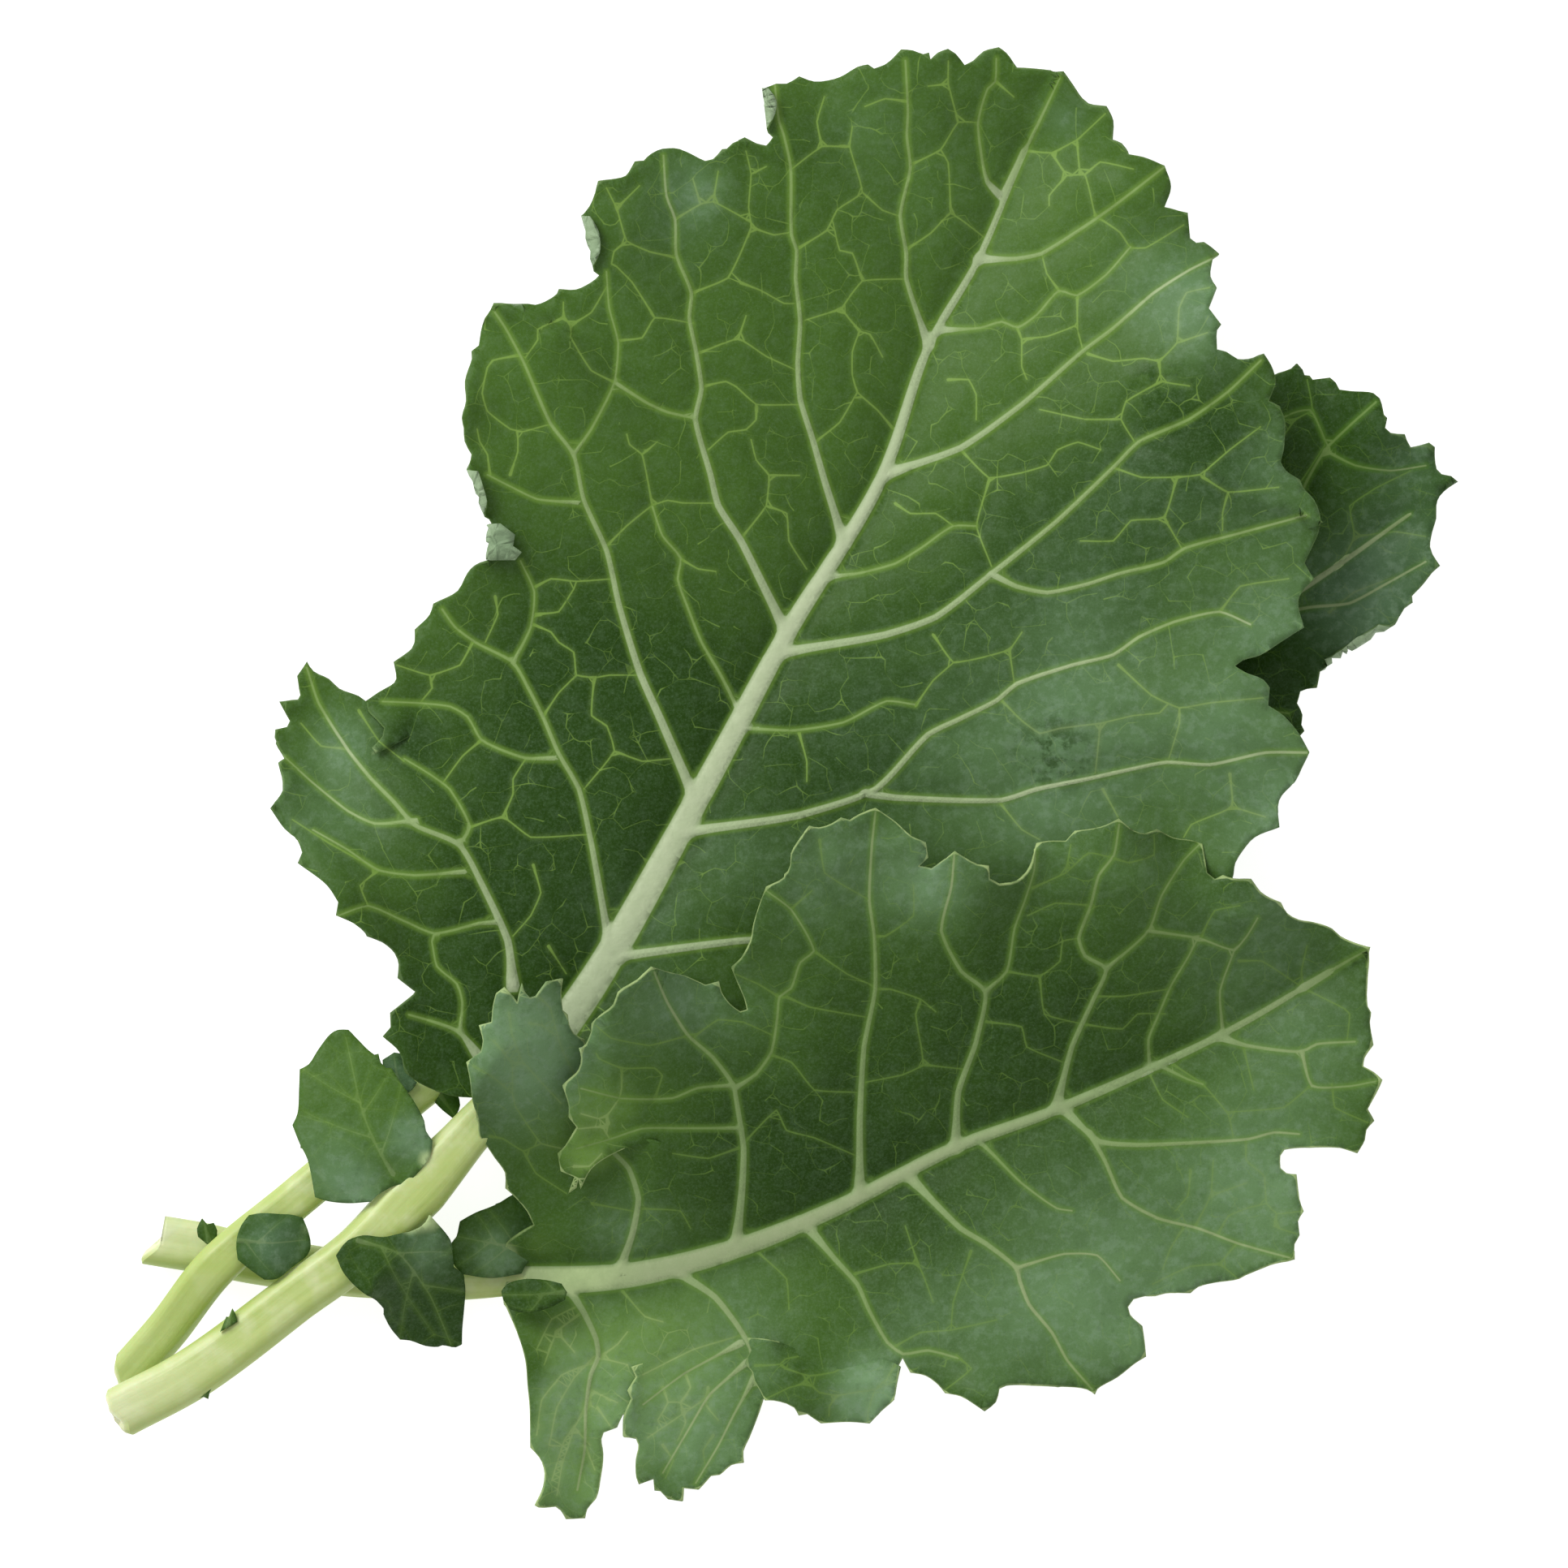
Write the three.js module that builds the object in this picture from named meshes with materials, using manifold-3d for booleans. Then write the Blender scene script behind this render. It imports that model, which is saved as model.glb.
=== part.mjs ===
// A bunch of three collard leaves lying on a flat surface, in millimetres, +Z up.
// Each leaf is a stem, which runs on through the blade as its midrib, and a wavy blade.
// Small leaflets sit along the bare part of the stems.
import * as THREE from 'three';
import { mergeVertices } from 'three/addons/utils/BufferGeometryUtils.js';
import Module from 'manifold-3d';

const wasm = await Module();
wasm.setup();

// Driving dimensions.
const SHEET = 0.9;            // thickness of a blade
const GAP = 0.35;             // clearance between a blade and the rib that carries it
const STEM_SIDES = 10;        // sides of a stem's section
const STEM_STEP = 11;         // length of one step along a stem
const STEM_HEIGHT = 0.92;     // height of a stem's section over its width
const RIB_SEAT = -0.25;       // height of the blade beside its rib, as a share of the rib's radius
const VALLEY = 3.6;           // rise of a blade beside its rib
const VALLEY_WIDTH = 10;      // width over which that rise happens
const SPREAD_POWER = 1.25;    // how the height runs from the rib to the margin
const PAST_MARGIN = 0.25;     // how far the rise goes on past the margin's usual reach
const RUFFLE = 2.0;           // height of the waves along a margin
const RUFFLE_LENGTH = 37;     // length of one wave
const RUFFLE_SLANT = 0.55;    // how far the waves lean towards the leaf's tip
const CELL = 9;               // size of a blade's facets
const SMALL_CELL = 4;         // size of a leaflet's facets
const FLOOR = 0;              // height of the surface under the bunch

// Stems: x, y, height of the centre, radius.
const LARGE_STEM = [
  [-131, -124, 15, 5.2], [-117, -116.5, 14.9, 5.2], [-96.5, -101.3, 14.8, 4.9],
  [-84, -92, 14.8, 4.8], [-72, -79.8, 14.9, 4.9], [-63, -70, 14.6, 4.3],
  [-41, -44, 13.6, 3.6], [-15.5, 0, 11, 2.9], [0.6, 29.8, 8.6, 2.4], [19, 60, 6, 1.8],
  [28.6, 86.6, 3.8, 1.3], [38.5, 104, 2.4, 1.1], [47.5, 125.5, 1.6, 0.9],
];
const FRONT_STEM = [
  [-124, -90.3, 4.6, 5], [-115, -91.8, 4.6, 5], [-105, -94, 4.55, 4.9], [-85, -97, 4.5, 4.6],
  [-63, -98.6, 3.8, 3.8], [-50, -98.5, 3.3, 3.2], [-30, -97.2, 3.1, 2.8], [-10, -92.2, 2.8, 2.4],
  [10, -84.2, 2.5, 2], [34, -72, 2.1, 1.7], [54, -64.5, 1.9, 1.5], [87, -49.5, 2, 1.1],
  [108, -37.3, 3.2, 0.9],
];
const BACK_STEM = [
  [-129.3, -116, 4.1, 4.3], [-122, -107.8, 7.6, 4.3], [-112, -95.2, 14.9, 4.3],
  [-97.2, -82.6, 12.6, 4.1], [-84, -71.5, 10.6, 4.1], [-72, -60.5, 9, 4], [-42, -42, 5.4, 3.7],
  [0, -19.5, 3.3, 3], [50, 7.5, 2.7, 2.4], [104, 39.5, 2.2, 1.6], [124, 53.5, 4.2, 1],
];

// Spread of a blade: distance along the stem, then reach and height of the margin
// on the left of the rib, and the same on its right.
const LARGE_SPREAD = [
  [85, 16, 15.5, 16, 12], [105, 28, 17, 26, 11], [130, 55, 19, 40, 9], [172, 82, 13, 72, 6],
  [206, 78, 20, 96, 10], [241, 68, 20, 92, 20], [270, 64, 17, 75, 23], [290, 48, 13, 50, 17],
  [314, 26, 9, 20, 11], [330, 12, 7, 12, 8],
];
const FRONT_SPREAD = [
  [62, 40, 30.5, 14, 4], [75, 47, 31.5, 45, 1], [95, 54, 30, 45, 0.5], [115, 60, 29, 48, 2],
  [137, 80, 29, 42, 8], [164, 62, 26, 50, 9], [185, 56, 25, 55, 9], [203, 48, 24, 52, 10],
  [221, 32, 19, 48, 8], [241, 16, 13, 30, 7], [254, 8, 10, 20, 7],
];
const BACK_SPREAD = [
  [100, 8, 7, 8, 7], [163, 26, 4.5, 26, 3.5], [219, 34, 4.5, 34, 3], [282, 42, 13, 36, 7],
  [312, 18, 10, 18, 7],
];

// Margins, as closed outlines seen from above.
const LARGE_MARGIN = [
  [-61, -62], [-66, -61.5], [-72, -59], [-74.7, -57], [-75.8, -53], [-79.2, -49.8], [-77.6, -45.2],
  [-72.6, -41], [-76, -38], [-76.5, -33.5], [-82.3, -29.6], [-88.3, -25.9], [-87.8, -23.3],
  [-95.9, -15.6], [-95, -13], [-101.4, -4.8], [-98.7, -0.5], [-99.7, 4.4], [-98.5, 5.4],
  [-100.4, 10.8], [-97.6, 12.2], [-99.7, 16.2], [-95.6, 17], [-94.3, 24.1], [-90, 20.7],
  [-84, 17.4], [-82.5, 15.4], [-78.8, 9], [-82, 16.6], [-76.8, 20.4], [-77.1, 24], [-73.2, 27.4],
  [-73, 30.5], [-69.3, 35.6], [-64.5, 38], [-61, 43], [-57.2, 44.5], [-56.8, 47], [-57.7, 50.8],
  [-59.7, 52.4], [-59.5, 57], [-62, 62], [-63.4, 72], [-62.8, 79.5], [-61.6, 85.4],
  [-59.5, 90.5], [-57.2, 94.3], [-49, 94.5], [-44.4, 97.6], [-41, 97.5], [-36.2, 100],
  [-37.5, 105.5], [-39, 112.8], [-36.6, 118.8], [-31, 120], [-29.3, 122.8], [-24, 125.4],
  [-20.5, 125.3], [-15.5, 123], [-11.5, 125.3], [-7.8, 127.4], [-3.5, 126], [-2.1, 128],
  [-3.4, 137], [-1.5, 138.5], [3, 140], [6, 139], [10, 139.5], [16.5, 142.2], [17.8, 141.4],
  [23.2, 145.2], [27.5, 144.3], [29, 143.2], [32.5, 145.2], [35.8, 142.1], [42.5, 145.6],
  [46, 141.6], [55, 140.8], [59.2, 135], [63.5, 133.8], [64.7, 127.3], [68, 124.4],
  [75.2, 122.2], [76.5, 118], [75.2, 114], [79.8, 112.9], [80.3, 107.9], [86.1, 104.8],
  [84.2, 100.3], [85.3, 98.2], [83.7, 94], [86.2, 90.6], [85.4, 85.7], [90.5, 83.7],
  [94.6, 84.7], [97, 79.5], [95.6, 75.5], [98.8, 71.5], [98, 63.5], [101.8, 60], [105.6, 53],
  [102.6, 43.5], [104.4, 40.4], [101.5, 36], [102.4, 30.9], [94, 25.5], [88.9, 23.3],
  [95.2, 20.2], [95.5, 15.5], [103.6, 6.3], [100.8, 0.5], [97.3, -4.5], [97.7, -8.5],
  [90.5, -13], [88.3, -18.8], [80, -27], [68, -34], [54, -41], [38, -46], [22, -51], [5, -55],
  [-15, -57], [-32, -59], [-45, -63], [-57, -68],
];
const FRONT_MARGIN = [
  [-56, -101.5], [-52.5, -109.5], [-50.8, -119], [-50.3, -131.5], [-47.3, -136.5],
  [-49.2, -142.8], [-45, -143.1], [-43, -145.7], [-39.4, -145.6], [-36.3, -137], [-35.9, -128.5],
  [-33.2, -127.5], [-30.5, -124.5], [-31.7, -129.4], [-28.8, -131], [-28.8, -138.9],
  [-25.9, -137.8], [-25.5, -140.1], [-20.2, -142.2], [-20, -139.5], [-17, -139.8],
  [-12.8, -136.8], [-8, -134.4], [-8.2, -132], [-3.7, -121.8], [3.1, -124.8], [7.2, -126.4],
  [16.5, -126.5], [21.7, -121.5], [23.4, -116.5], [28, -117], [31.8, -120.4], [39.6, -123.9],
  [42.6, -119.2], [44, -118.6], [60, -119.8], [61.5, -120.8], [71.6, -113.2], [70.9, -107.2],
  [68.1, -103.5], [71.5, -101.4], [80.5, -100.8], [82, -99.6], [90, -98], [101, -94],
  [101, -91], [102.8, -84.5], [101.3, -77.2], [98.2, -76], [98.6, -72.6], [110, -72],
  [113.5, -73.1], [116.7, -66.8], [115.4, -64.5], [118.1, -58.5], [114.5, -55.8],
  [116.6, -51.5], [115.4, -39], [115.8, -32.4], [108.5, -28.8], [99.5, -25.7], [98.2, -23.5],
  [92, -18.9], [85, -18.8], [82.6, -11.8], [73.8, -9], [71.5, -9.8], [66, -7], [57.3, -9.2],
  [55.5, -11.2], [49.8, -11.6], [48.6, -16.5], [44.5, -19.8], [40.5, -18.8], [40.3, -16.2],
  [33.6, -13.3], [29, -16.7], [27.9, -11.5], [18.2, -4.8], [13, -7.2], [5.1, -8.3],
  [1.4, -13.8], [0, -18.5], [-3.6, -20.4], [-6, -27.5], [-10.4, -36.2], [-7.3, -44.5],
  [-10.5, -43.5], [-12.8, -38.9], [-19.6, -37.7], [-25.8, -36], [-32.4, -41], [-37.9, -47],
  [-39.9, -54.8], [-43.5, -59.4], [-42.3, -66], [-40.8, -68], [-44.7, -73], [-41.5, -77.6],
  [-34, -73.4], [-24, -71], [-22, -80], [-23, -95],
];
const UPPER_LOBE_MARGIN = [
  [-52, -97], [-49.5, -87.8], [-53.5, -81.3], [-55, -77], [-60, -69.5], [-61.8, -58],
  [-62.5, -54.8], [-59.3, -51], [-60, -47.6], [-57, -44.5], [-54.8, -40.2], [-52.3, -43],
  [-51.6, -39.6], [-49.5, -42], [-46.3, -38.6], [-43.8, -38.4], [-42.6, -45.5], [-39.3, -50.6],
  [-33, -60], [-27, -68], [-19, -74], [-17, -95],
];
const BACK_MARGIN = [
  [-52, -49], [-46, -39], [-22, -21], [8, 6], [38, 36], [62, 60], [84, 76], [97, 80.8],
  [101.5, 83.2], [104.6, 80], [108, 80.4], [109.8, 78], [116.5, 77.3], [119.2, 72.3],
  [118.8, 70.3], [122.8, 68.9], [124, 66.4], [127.5, 67.3], [129, 62.3], [133.4, 59.8],
  [129, 55], [127.8, 47], [129.7, 43.3], [124.2, 36.5], [121, 32.3], [115, 30.5], [106.3, 24.5],
  [105.4, 19], [101.6, 16], [103, 10.6], [97, 4], [90, -4], [76, -14], [58, -22], [38, -30],
  [16, -38], [-8, -46], [-30, -50], [-44, -51],
];

// Leaflets: outline, vein (x, y, height), and how far the sides drop over their reach.
const LEAFLETS = {
  large_leaf_upper_leaflet: {
    outline: [
      [-76.5, -79], [-81.5, -82.4], [-86, -82.7], [-92.5, -81.3], [-93.6, -74.5], [-97, -67.3],
      [-95.7, -60], [-95.6, -56.3], [-92, -52.5], [-88, -48.5], [-86, -48.5], [-80.8, -53.4],
      [-78.5, -56], [-70.8, -65], [-73.5, -68.8], [-76.5, -72],
    ],
    vein: [[-77, -77, 19.4], [-80, -72, 20], [-83, -65, 19.4], [-86.5, -50, 15.5]],
    reach: 12,
    drop: 1.6,
    stem: 'large',
  },
  large_leaf_lower_leaflet: {
    outline: [
      [-73, -88], [-70.2, -86], [-65.8, -90], [-65.4, -95.5], [-63.2, -98], [-63.8, -111],
      [-67.7, -111.2], [-76, -110], [-79, -104], [-85, -98.5], [-87, -96], [-80, -93],
    ],
    vein: [[-73, -87, 14], [-71.5, -95, 13.6], [-68.5, -103, 8], [-66, -111, 2.4]],
    reach: 12,
    drop: 1.2,
    stem: 'large',
  },
  large_leaf_upper_bud: {
    outline: [[-111.2, -108], [-110, -105.2], [-108.8, -103.4], [-107.8, -105.3]],
    vein: [[-109.8, -107.5, 17], [-109, -103.5, 17.6]],
    reach: 3,
    drop: 0.3,
    stem: 'large',
  },
  large_leaf_lower_bud: {
    outline: [[-116.5, -119], [-115.5, -121.3], [-113.6, -121.4], [-112.6, -119]],
    vein: [[-115, -118.5, 15.6], [-114.2, -121.4, 14.8]],
    reach: 3,
    drop: 0.3,
    stem: 'large',
  },
  front_leaf_basal_leaflet: {
    outline: [
      [-53, -96.6], [-51.5, -88], [-53.5, -81.6], [-61, -84.8], [-64, -86.5], [-65, -91],
      [-64.5, -95], [-57, -96.6],
    ],
    vein: [[-50, -95.5, 5.2], [-57, -91, 7.4], [-64.5, -89.5, 8.6]],
    reach: 8,
    drop: 0.8,
    stem: 'front',
  },
  front_leaf_curled_leaflet: {
    outline: [
      [-55.9, -100.3], [-54.5, -103.4], [-51, -104.6], [-46.5, -103.6], [-43, -101.5],
      [-44, -98.8], [-51.5, -98], [-54.8, -98.9],
    ],
    vein: [[-43.5, -100.5, 8.8], [-50, -101, 9.4], [-55.5, -101, 8.6]],
    reach: 5,
    drop: 0.9,
    stem: 'front',
  },
  front_leaf_end_leaflet: {
    outline: [
      [-116, -87.8], [-115, -85.8], [-114, -87], [-112.7, -86.7], [-112, -88.3], [-114, -91],
    ],
    vein: [[-113.6, -90.4, 10.8], [-114.8, -86, 11.2]],
    reach: 3,
    drop: 0.3,
    stem: 'front',
  },
  back_leaf_round_leaflet: {
    outline: [
      [-107.9, -90.5], [-107, -94.2], [-102.5, -97.6], [-100, -97.2], [-97, -95], [-94.2, -92.4],
      [-94, -88], [-95.2, -85.6], [-99.5, -84.8], [-103, -84.6], [-106.2, -86],
    ],
    vein: [[-107.5, -90, 19.2], [-101, -90.5, 19.4], [-94.5, -90, 15.4]],
    reach: 7,
    drop: 1.6,
    stem: 'back',
  },
  back_leaf_grey_leaflet: {
    outline: [
      [-79.3, -56], [-77, -53.2], [-75.6, -53.4], [-74, -57], [-72.4, -58.2], [-76.5, -62.2],
      [-79, -60],
    ],
    vein: [[-76, -61, 11.6], [-77, -54, 12.2]],
    reach: 4,
    drop: 0.4,
    stem: 'back',
  },
  back_leaf_dark_leaflet: {
    outline: [
      [-69.2, -63], [-68, -61.3], [-65.5, -59.8], [-63.6, -62], [-65, -66], [-67.5, -64.8],
    ],
    vein: [[-68, -61.4, 10.4], [-65.2, -65.4, 9.4]],
    reach: 3,
    drop: 0.3,
    stem: 'back',
  },
};

// Extra rises and falls of a blade: x, y, radius, height.
const LARGE_SWELLS = [
  [-96, 8, 22, -6], [60, 60, 30, 2], [-45, 70, 30, 1.5], [98, 25, 12, -3], [-84, -20, 14, 3],
];
const FRONT_SWELLS = [[12, -30, 16, 2], [84, -90, 22, -3], [40, -118, 16, 3], [0, -118, 12, 4]];

// Colours and finish: colour, roughness.
const FINISH = {
  stem: [0xc3d292, 0.45],
  large: [0x40602b, 0.5],
  front: [0x466430, 0.5],
  back: [0x3c5a26, 0.5],
};

function finish(name) {
  const [color, roughness] = FINISH[name];
  return new THREE.MeshStandardMaterial({ color, roughness, metalness: 0 });
}

// A smooth centre line through the rows of a stem, with its radius and running length.
function centreLine(rows, steps) {
  const curve = new THREE.CatmullRomCurve3(
    rows.map(([x, y, z]) => new THREE.Vector3(x, y, z)), false, 'centripetal');
  const line = [];
  let along = 0;
  for (let i = 0; i <= steps; i += 1) {
    const share = i / steps * (rows.length - 1);
    const row = Math.min(Math.floor(share), rows.length - 2);
    const point = curve.getPoint(i / steps);
    if (i > 0) along += Math.hypot(point.x - line[i - 1].x, point.y - line[i - 1].y);
    const radius = THREE.MathUtils.lerp(rows[row][3] ?? 0, rows[row + 1][3] ?? 0, share - row);
    line.push({ x: point.x, y: point.y, z: point.z, radius, along });
  }
  return line;
}

// The nearest place on a centre line: its height, radius, distance along and signed distance off.
function nearest(line, x, y) {
  let best = { off: Infinity };
  for (let i = 0; i + 1 < line.length; i += 1) {
    const [a, b] = [line[i], line[i + 1]];
    const [dx, dy] = [b.x - a.x, b.y - a.y];
    const length = Math.hypot(dx, dy);
    const t = THREE.MathUtils.clamp(((x - a.x) * dx + (y - a.y) * dy) / length ** 2, 0, 1);
    const [ox, oy] = [x - a.x - t * dx, y - a.y - t * dy];
    const off = Math.hypot(ox, oy);
    if (off < Math.abs(best.off)) {
      best = {
        off: off * (dx * oy - dy * ox < 0 ? -1 : 1),
        z: THREE.MathUtils.lerp(a.z, b.z, t),
        radius: THREE.MathUtils.lerp(a.radius, b.radius, t),
        along: THREE.MathUtils.lerp(a.along, b.along, t),
      };
    }
  }
  return best;
}

// Reach and height of the margin at a distance along the stem, on one side of the rib.
function spreadAt(rows, along, left) {
  const column = left ? 1 : 3;
  let i = 0;
  while (i + 2 < rows.length && along > rows[i + 1][0]) i += 1;
  const t = THREE.MathUtils.smoothstep(along, rows[i][0], rows[i + 1][0]);
  return [column, column + 1].map((k) => THREE.MathUtils.lerp(rows[i][k], rows[i + 1][k], t));
}

// Height of the underside of a leaf's blade.
function bladeHeight(leaf, x, y) {
  const at = nearest(leaf.line, x, y);
  const off = Math.abs(at.off);
  const [reach, edge] = spreadAt(leaf.spread, at.along, at.off > 0);
  const seat = at.z + RIB_SEAT * at.radius;
  const share = Math.min(off / reach, 1 + PAST_MARGIN * (off / reach - 1));
  const valley = VALLEY * (1 - Math.exp(-off / VALLEY_WIDTH));
  const wave = Math.sin(2 * Math.PI * (at.along - RUFFLE_SLANT * off) / RUFFLE_LENGTH);
  let z = seat + valley + (edge - seat - VALLEY) * share ** SPREAD_POWER;
  z += RUFFLE * share ** 3 * wave;
  for (const [sx, sy, radius, height] of leaf.swells) {
    z += height * Math.exp(-((x - sx) ** 2 + (y - sy) ** 2) / radius ** 2);
  }
  return Math.max(z, FLOOR);
}

// A closed solid as the cutting library wants it.
function toSolid(geometry) {
  geometry.deleteAttribute('normal');
  geometry.deleteAttribute('uv');
  const merged = mergeVertices(geometry, 1e-4);
  return new wasm.Manifold(new wasm.Mesh({
    numProp: 3,
    vertProperties: new Float32Array(merged.attributes.position.array),
    triVerts: new Uint32Array(merged.index.array),
  }));
}

function toGeometry(solid) {
  const mesh = solid.getMesh();
  const geometry = new THREE.BufferGeometry();
  geometry.setAttribute('position', new THREE.BufferAttribute(mesh.vertProperties, 3));
  geometry.setIndex(new THREE.BufferAttribute(mesh.triVerts, 1));
  geometry.computeVertexNormals();
  return geometry;
}

// A tapered stem along a centre line: a cylinder bent onto it, grown all round by a margin.
function stemGeometry(rows, grow) {
  const length = centreLine(rows, 60).at(-1).along;
  const steps = Math.round(length / STEM_STEP);
  const line = centreLine(rows, steps);
  const geometry = new THREE.CylinderGeometry(1, 1, 1, STEM_SIDES, steps);
  const position = geometry.attributes.position;
  for (let i = 0; i < position.count; i += 1) {
    const ring = Math.round((position.getY(i) + 0.5) * steps);
    const at = line[ring];
    const [from, to] = [line[Math.max(ring - 1, 0)], line[Math.min(ring + 1, steps)]];
    const run = new THREE.Vector3(to.x - from.x, to.y - from.y, to.z - from.z).normalize();
    const side = new THREE.Vector3(run.y, -run.x, 0).normalize();
    const up = new THREE.Vector3().crossVectors(side, run);
    const radius = at.radius + grow;
    const end = (ring === 0 ? -grow : 0) + (ring === steps ? grow : 0);
    position.setXYZ(i,
      at.x + side.x * position.getX(i) * radius + up.x * position.getZ(i) * radius + run.x * end,
      at.y + side.y * position.getX(i) * radius + up.y * position.getZ(i) * radius + run.y * end,
      at.z + (up.z * position.getZ(i) * radius + run.z * end) * STEM_HEIGHT);
  }
  return geometry;
}

// A sheet of leaf: a thin plate bent to a height, trimmed to an outline.
function sheetSolid(outline, height, cell) {
  const xs = outline.map(([x]) => x);
  const ys = outline.map(([, y]) => y);
  const [low, high] = [[Math.min(...xs), Math.min(...ys)], [Math.max(...xs), Math.max(...ys)]];
  const size = [high[0] - low[0] + cell, high[1] - low[1] + cell];
  const counts = size.map((side) => Math.ceil(side / cell));
  const plate = new THREE.BoxGeometry(size[0], size[1], 1, counts[0], counts[1], 1);
  const position = plate.attributes.position;
  for (let i = 0; i < position.count; i += 1) {
    const x = position.getX(i) + (low[0] + high[0]) / 2;
    const y = position.getY(i) + (low[1] + high[1]) / 2;
    const top = position.getZ(i) > 0 ? SHEET : 0;
    position.setXYZ(i, x, y, height(x, y) + top);
  }
  const shape = new THREE.Shape(outline.map(([x, y]) => new THREE.Vector2(x, y)));
  const cutter = new THREE.ExtrudeGeometry(shape, { depth: 120, bevelEnabled: false });
  cutter.translate(0, 0, -20);
  return toSolid(plate).intersect(toSolid(cutter));
}

// The largest body of a cut solid, without the crumbs that a cut can leave.
function mainBody(solid) {
  return solid.decompose().reduce((a, b) => (a.volume() > b.volume() ? a : b));
}

function stem(rows) {
  return toGeometry(toSolid(stemGeometry(rows, 0)));
}

function cutAround(solid, stems) {
  return stems.reduce((rest, rows) => rest.subtract(toSolid(stemGeometry(rows, GAP))), solid);
}

const STEMS = { large: LARGE_STEM, front: FRONT_STEM, back: BACK_STEM };
const LEAVES = {
  large: { line: centreLine(LARGE_STEM, 80), spread: LARGE_SPREAD, swells: LARGE_SWELLS },
  front: { line: centreLine(FRONT_STEM, 80), spread: FRONT_SPREAD, swells: FRONT_SWELLS },
  back: { line: centreLine(BACK_STEM, 80), spread: BACK_SPREAD, swells: [] },
};

function largeBlade() {
  const sheet = sheetSolid(LARGE_MARGIN, (x, y) => bladeHeight(LEAVES.large, x, y), CELL);
  return toGeometry(mainBody(cutAround(sheet, [LARGE_STEM])));
}

// The front blade's upper lobe turns down and passes under the rest of the blade.
const LOBE_DROP = 4.5;

function frontBlade() {
  const height = (x, y) => bladeHeight(LEAVES.front, x, y);
  const lobeHeight = (x, y) => height(x, y)
    - LOBE_DROP * THREE.MathUtils.smoothstep(-x, 23, 36) * THREE.MathUtils.smoothstep(y, -92, -72);
  const main = sheetSolid(FRONT_MARGIN, height, CELL);
  const lobe = sheetSolid(UPPER_LOBE_MARGIN, lobeHeight, CELL);
  return toGeometry(mainBody(cutAround(main.add(lobe), [FRONT_STEM])));
}

function backBlade() {
  const sheet = sheetSolid(BACK_MARGIN, (x, y) => bladeHeight(LEAVES.back, x, y), CELL);
  return toGeometry(mainBody(cutAround(sheet, [BACK_STEM])));
}

// A small leaflet over its own vein, its sides dropping away from it.
function leaflet({ outline, vein, reach, drop }) {
  const line = centreLine(vein, 12);
  const height = (x, y) => {
    const at = nearest(line, x, y);
    return at.z - drop * (Math.abs(at.off) / reach) ** 2;
  };
  const sheet = sheetSolid(outline, height, SMALL_CELL);
  return toGeometry(mainBody(cutAround(sheet, Object.values(STEMS))));
}

const bunch = new THREE.Group();

function place(name, geometry, material) {
  const mesh = new THREE.Mesh(geometry, material);
  mesh.name = name;
  bunch.add(mesh);
}

for (const [leaf, rows] of Object.entries(STEMS)) {
  place(`${leaf}_leaf_stem`, stem(rows), finish('stem'));
}
place('large_leaf_blade', largeBlade(), finish('large'));
place('front_leaf_blade', frontBlade(), finish('front'));
place('back_leaf_blade', backBlade(), finish('back'));
for (const [name, parts] of Object.entries(LEAFLETS)) {
  place(name, leaflet(parts), finish(parts.stem));
}

export default bunch;
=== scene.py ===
"""A bunch of three collard leaves lying flat, dressed around its solid parts.

Lengths are in millimetres until a mesh is made; Blender's scene is in metres.
"""
import logging
import math
from dataclasses import dataclass, field, replace
from enum import Enum
from typing import Callable, Iterable, Sequence

import bmesh
import bpy
import numpy as np
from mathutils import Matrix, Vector, noise
from mathutils.geometry import delaunay_2d_cdt
from mathutils.kdtree import KDTree


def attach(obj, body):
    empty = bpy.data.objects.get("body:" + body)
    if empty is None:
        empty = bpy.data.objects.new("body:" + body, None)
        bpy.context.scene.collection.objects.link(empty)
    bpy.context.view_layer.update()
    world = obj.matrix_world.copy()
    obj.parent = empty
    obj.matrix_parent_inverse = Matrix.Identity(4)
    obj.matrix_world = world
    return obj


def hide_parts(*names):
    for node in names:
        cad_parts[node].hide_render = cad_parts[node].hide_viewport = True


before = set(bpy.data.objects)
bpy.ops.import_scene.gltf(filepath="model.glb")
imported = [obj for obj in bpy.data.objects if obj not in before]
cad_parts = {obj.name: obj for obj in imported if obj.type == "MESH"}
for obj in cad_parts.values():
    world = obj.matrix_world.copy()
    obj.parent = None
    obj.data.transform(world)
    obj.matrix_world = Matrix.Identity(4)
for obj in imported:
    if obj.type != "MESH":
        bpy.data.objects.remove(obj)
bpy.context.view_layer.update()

LOG = logging.getLogger("collards")
MM = 0.001
SHEET_TOP = 0.9  # a blade's top over the height that its leaf gives
BLADE = 0.5  # thickness of a blade between its veins
TRACE = 0.3  # step of the points that stand for a vein when distances are read
SHARP_TURN = math.radians(38)  # a margin turns more than this at the tip of a tooth
PITCH = 1.2  # step along margins and veins
LEAFLET_PITCH = 1.0  # step along a leaflet's margin
FAR = 9.0  # a distance that stands for out of reach
LOWEST = 0.3  # no sheet lies lower than this
CHUNK = 4000  # how many places are compared with a margin at a time
WELD = 0.00001  # corners nearer than this, in metres, become one
HONEYCOMB = 0.87  # distance between the rows of a honeycomb, in cells
SAME_CORNER = 0.02  # corners of a lay-out nearer than this become one
THICKEST = 4  # thickness at the widest vein, in thicknesses of the blade
SIDE_VEIN = 0.7  # half width that parts broad side veins from slim ones
VEIN_BORDERS = ((0.36, (-1, 1)), (1.0, (-0.55, 0.55)))  # least half width, and where borders run
THICK_STEPS = 10  # levels of thickness between the blade and its widest vein

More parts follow.
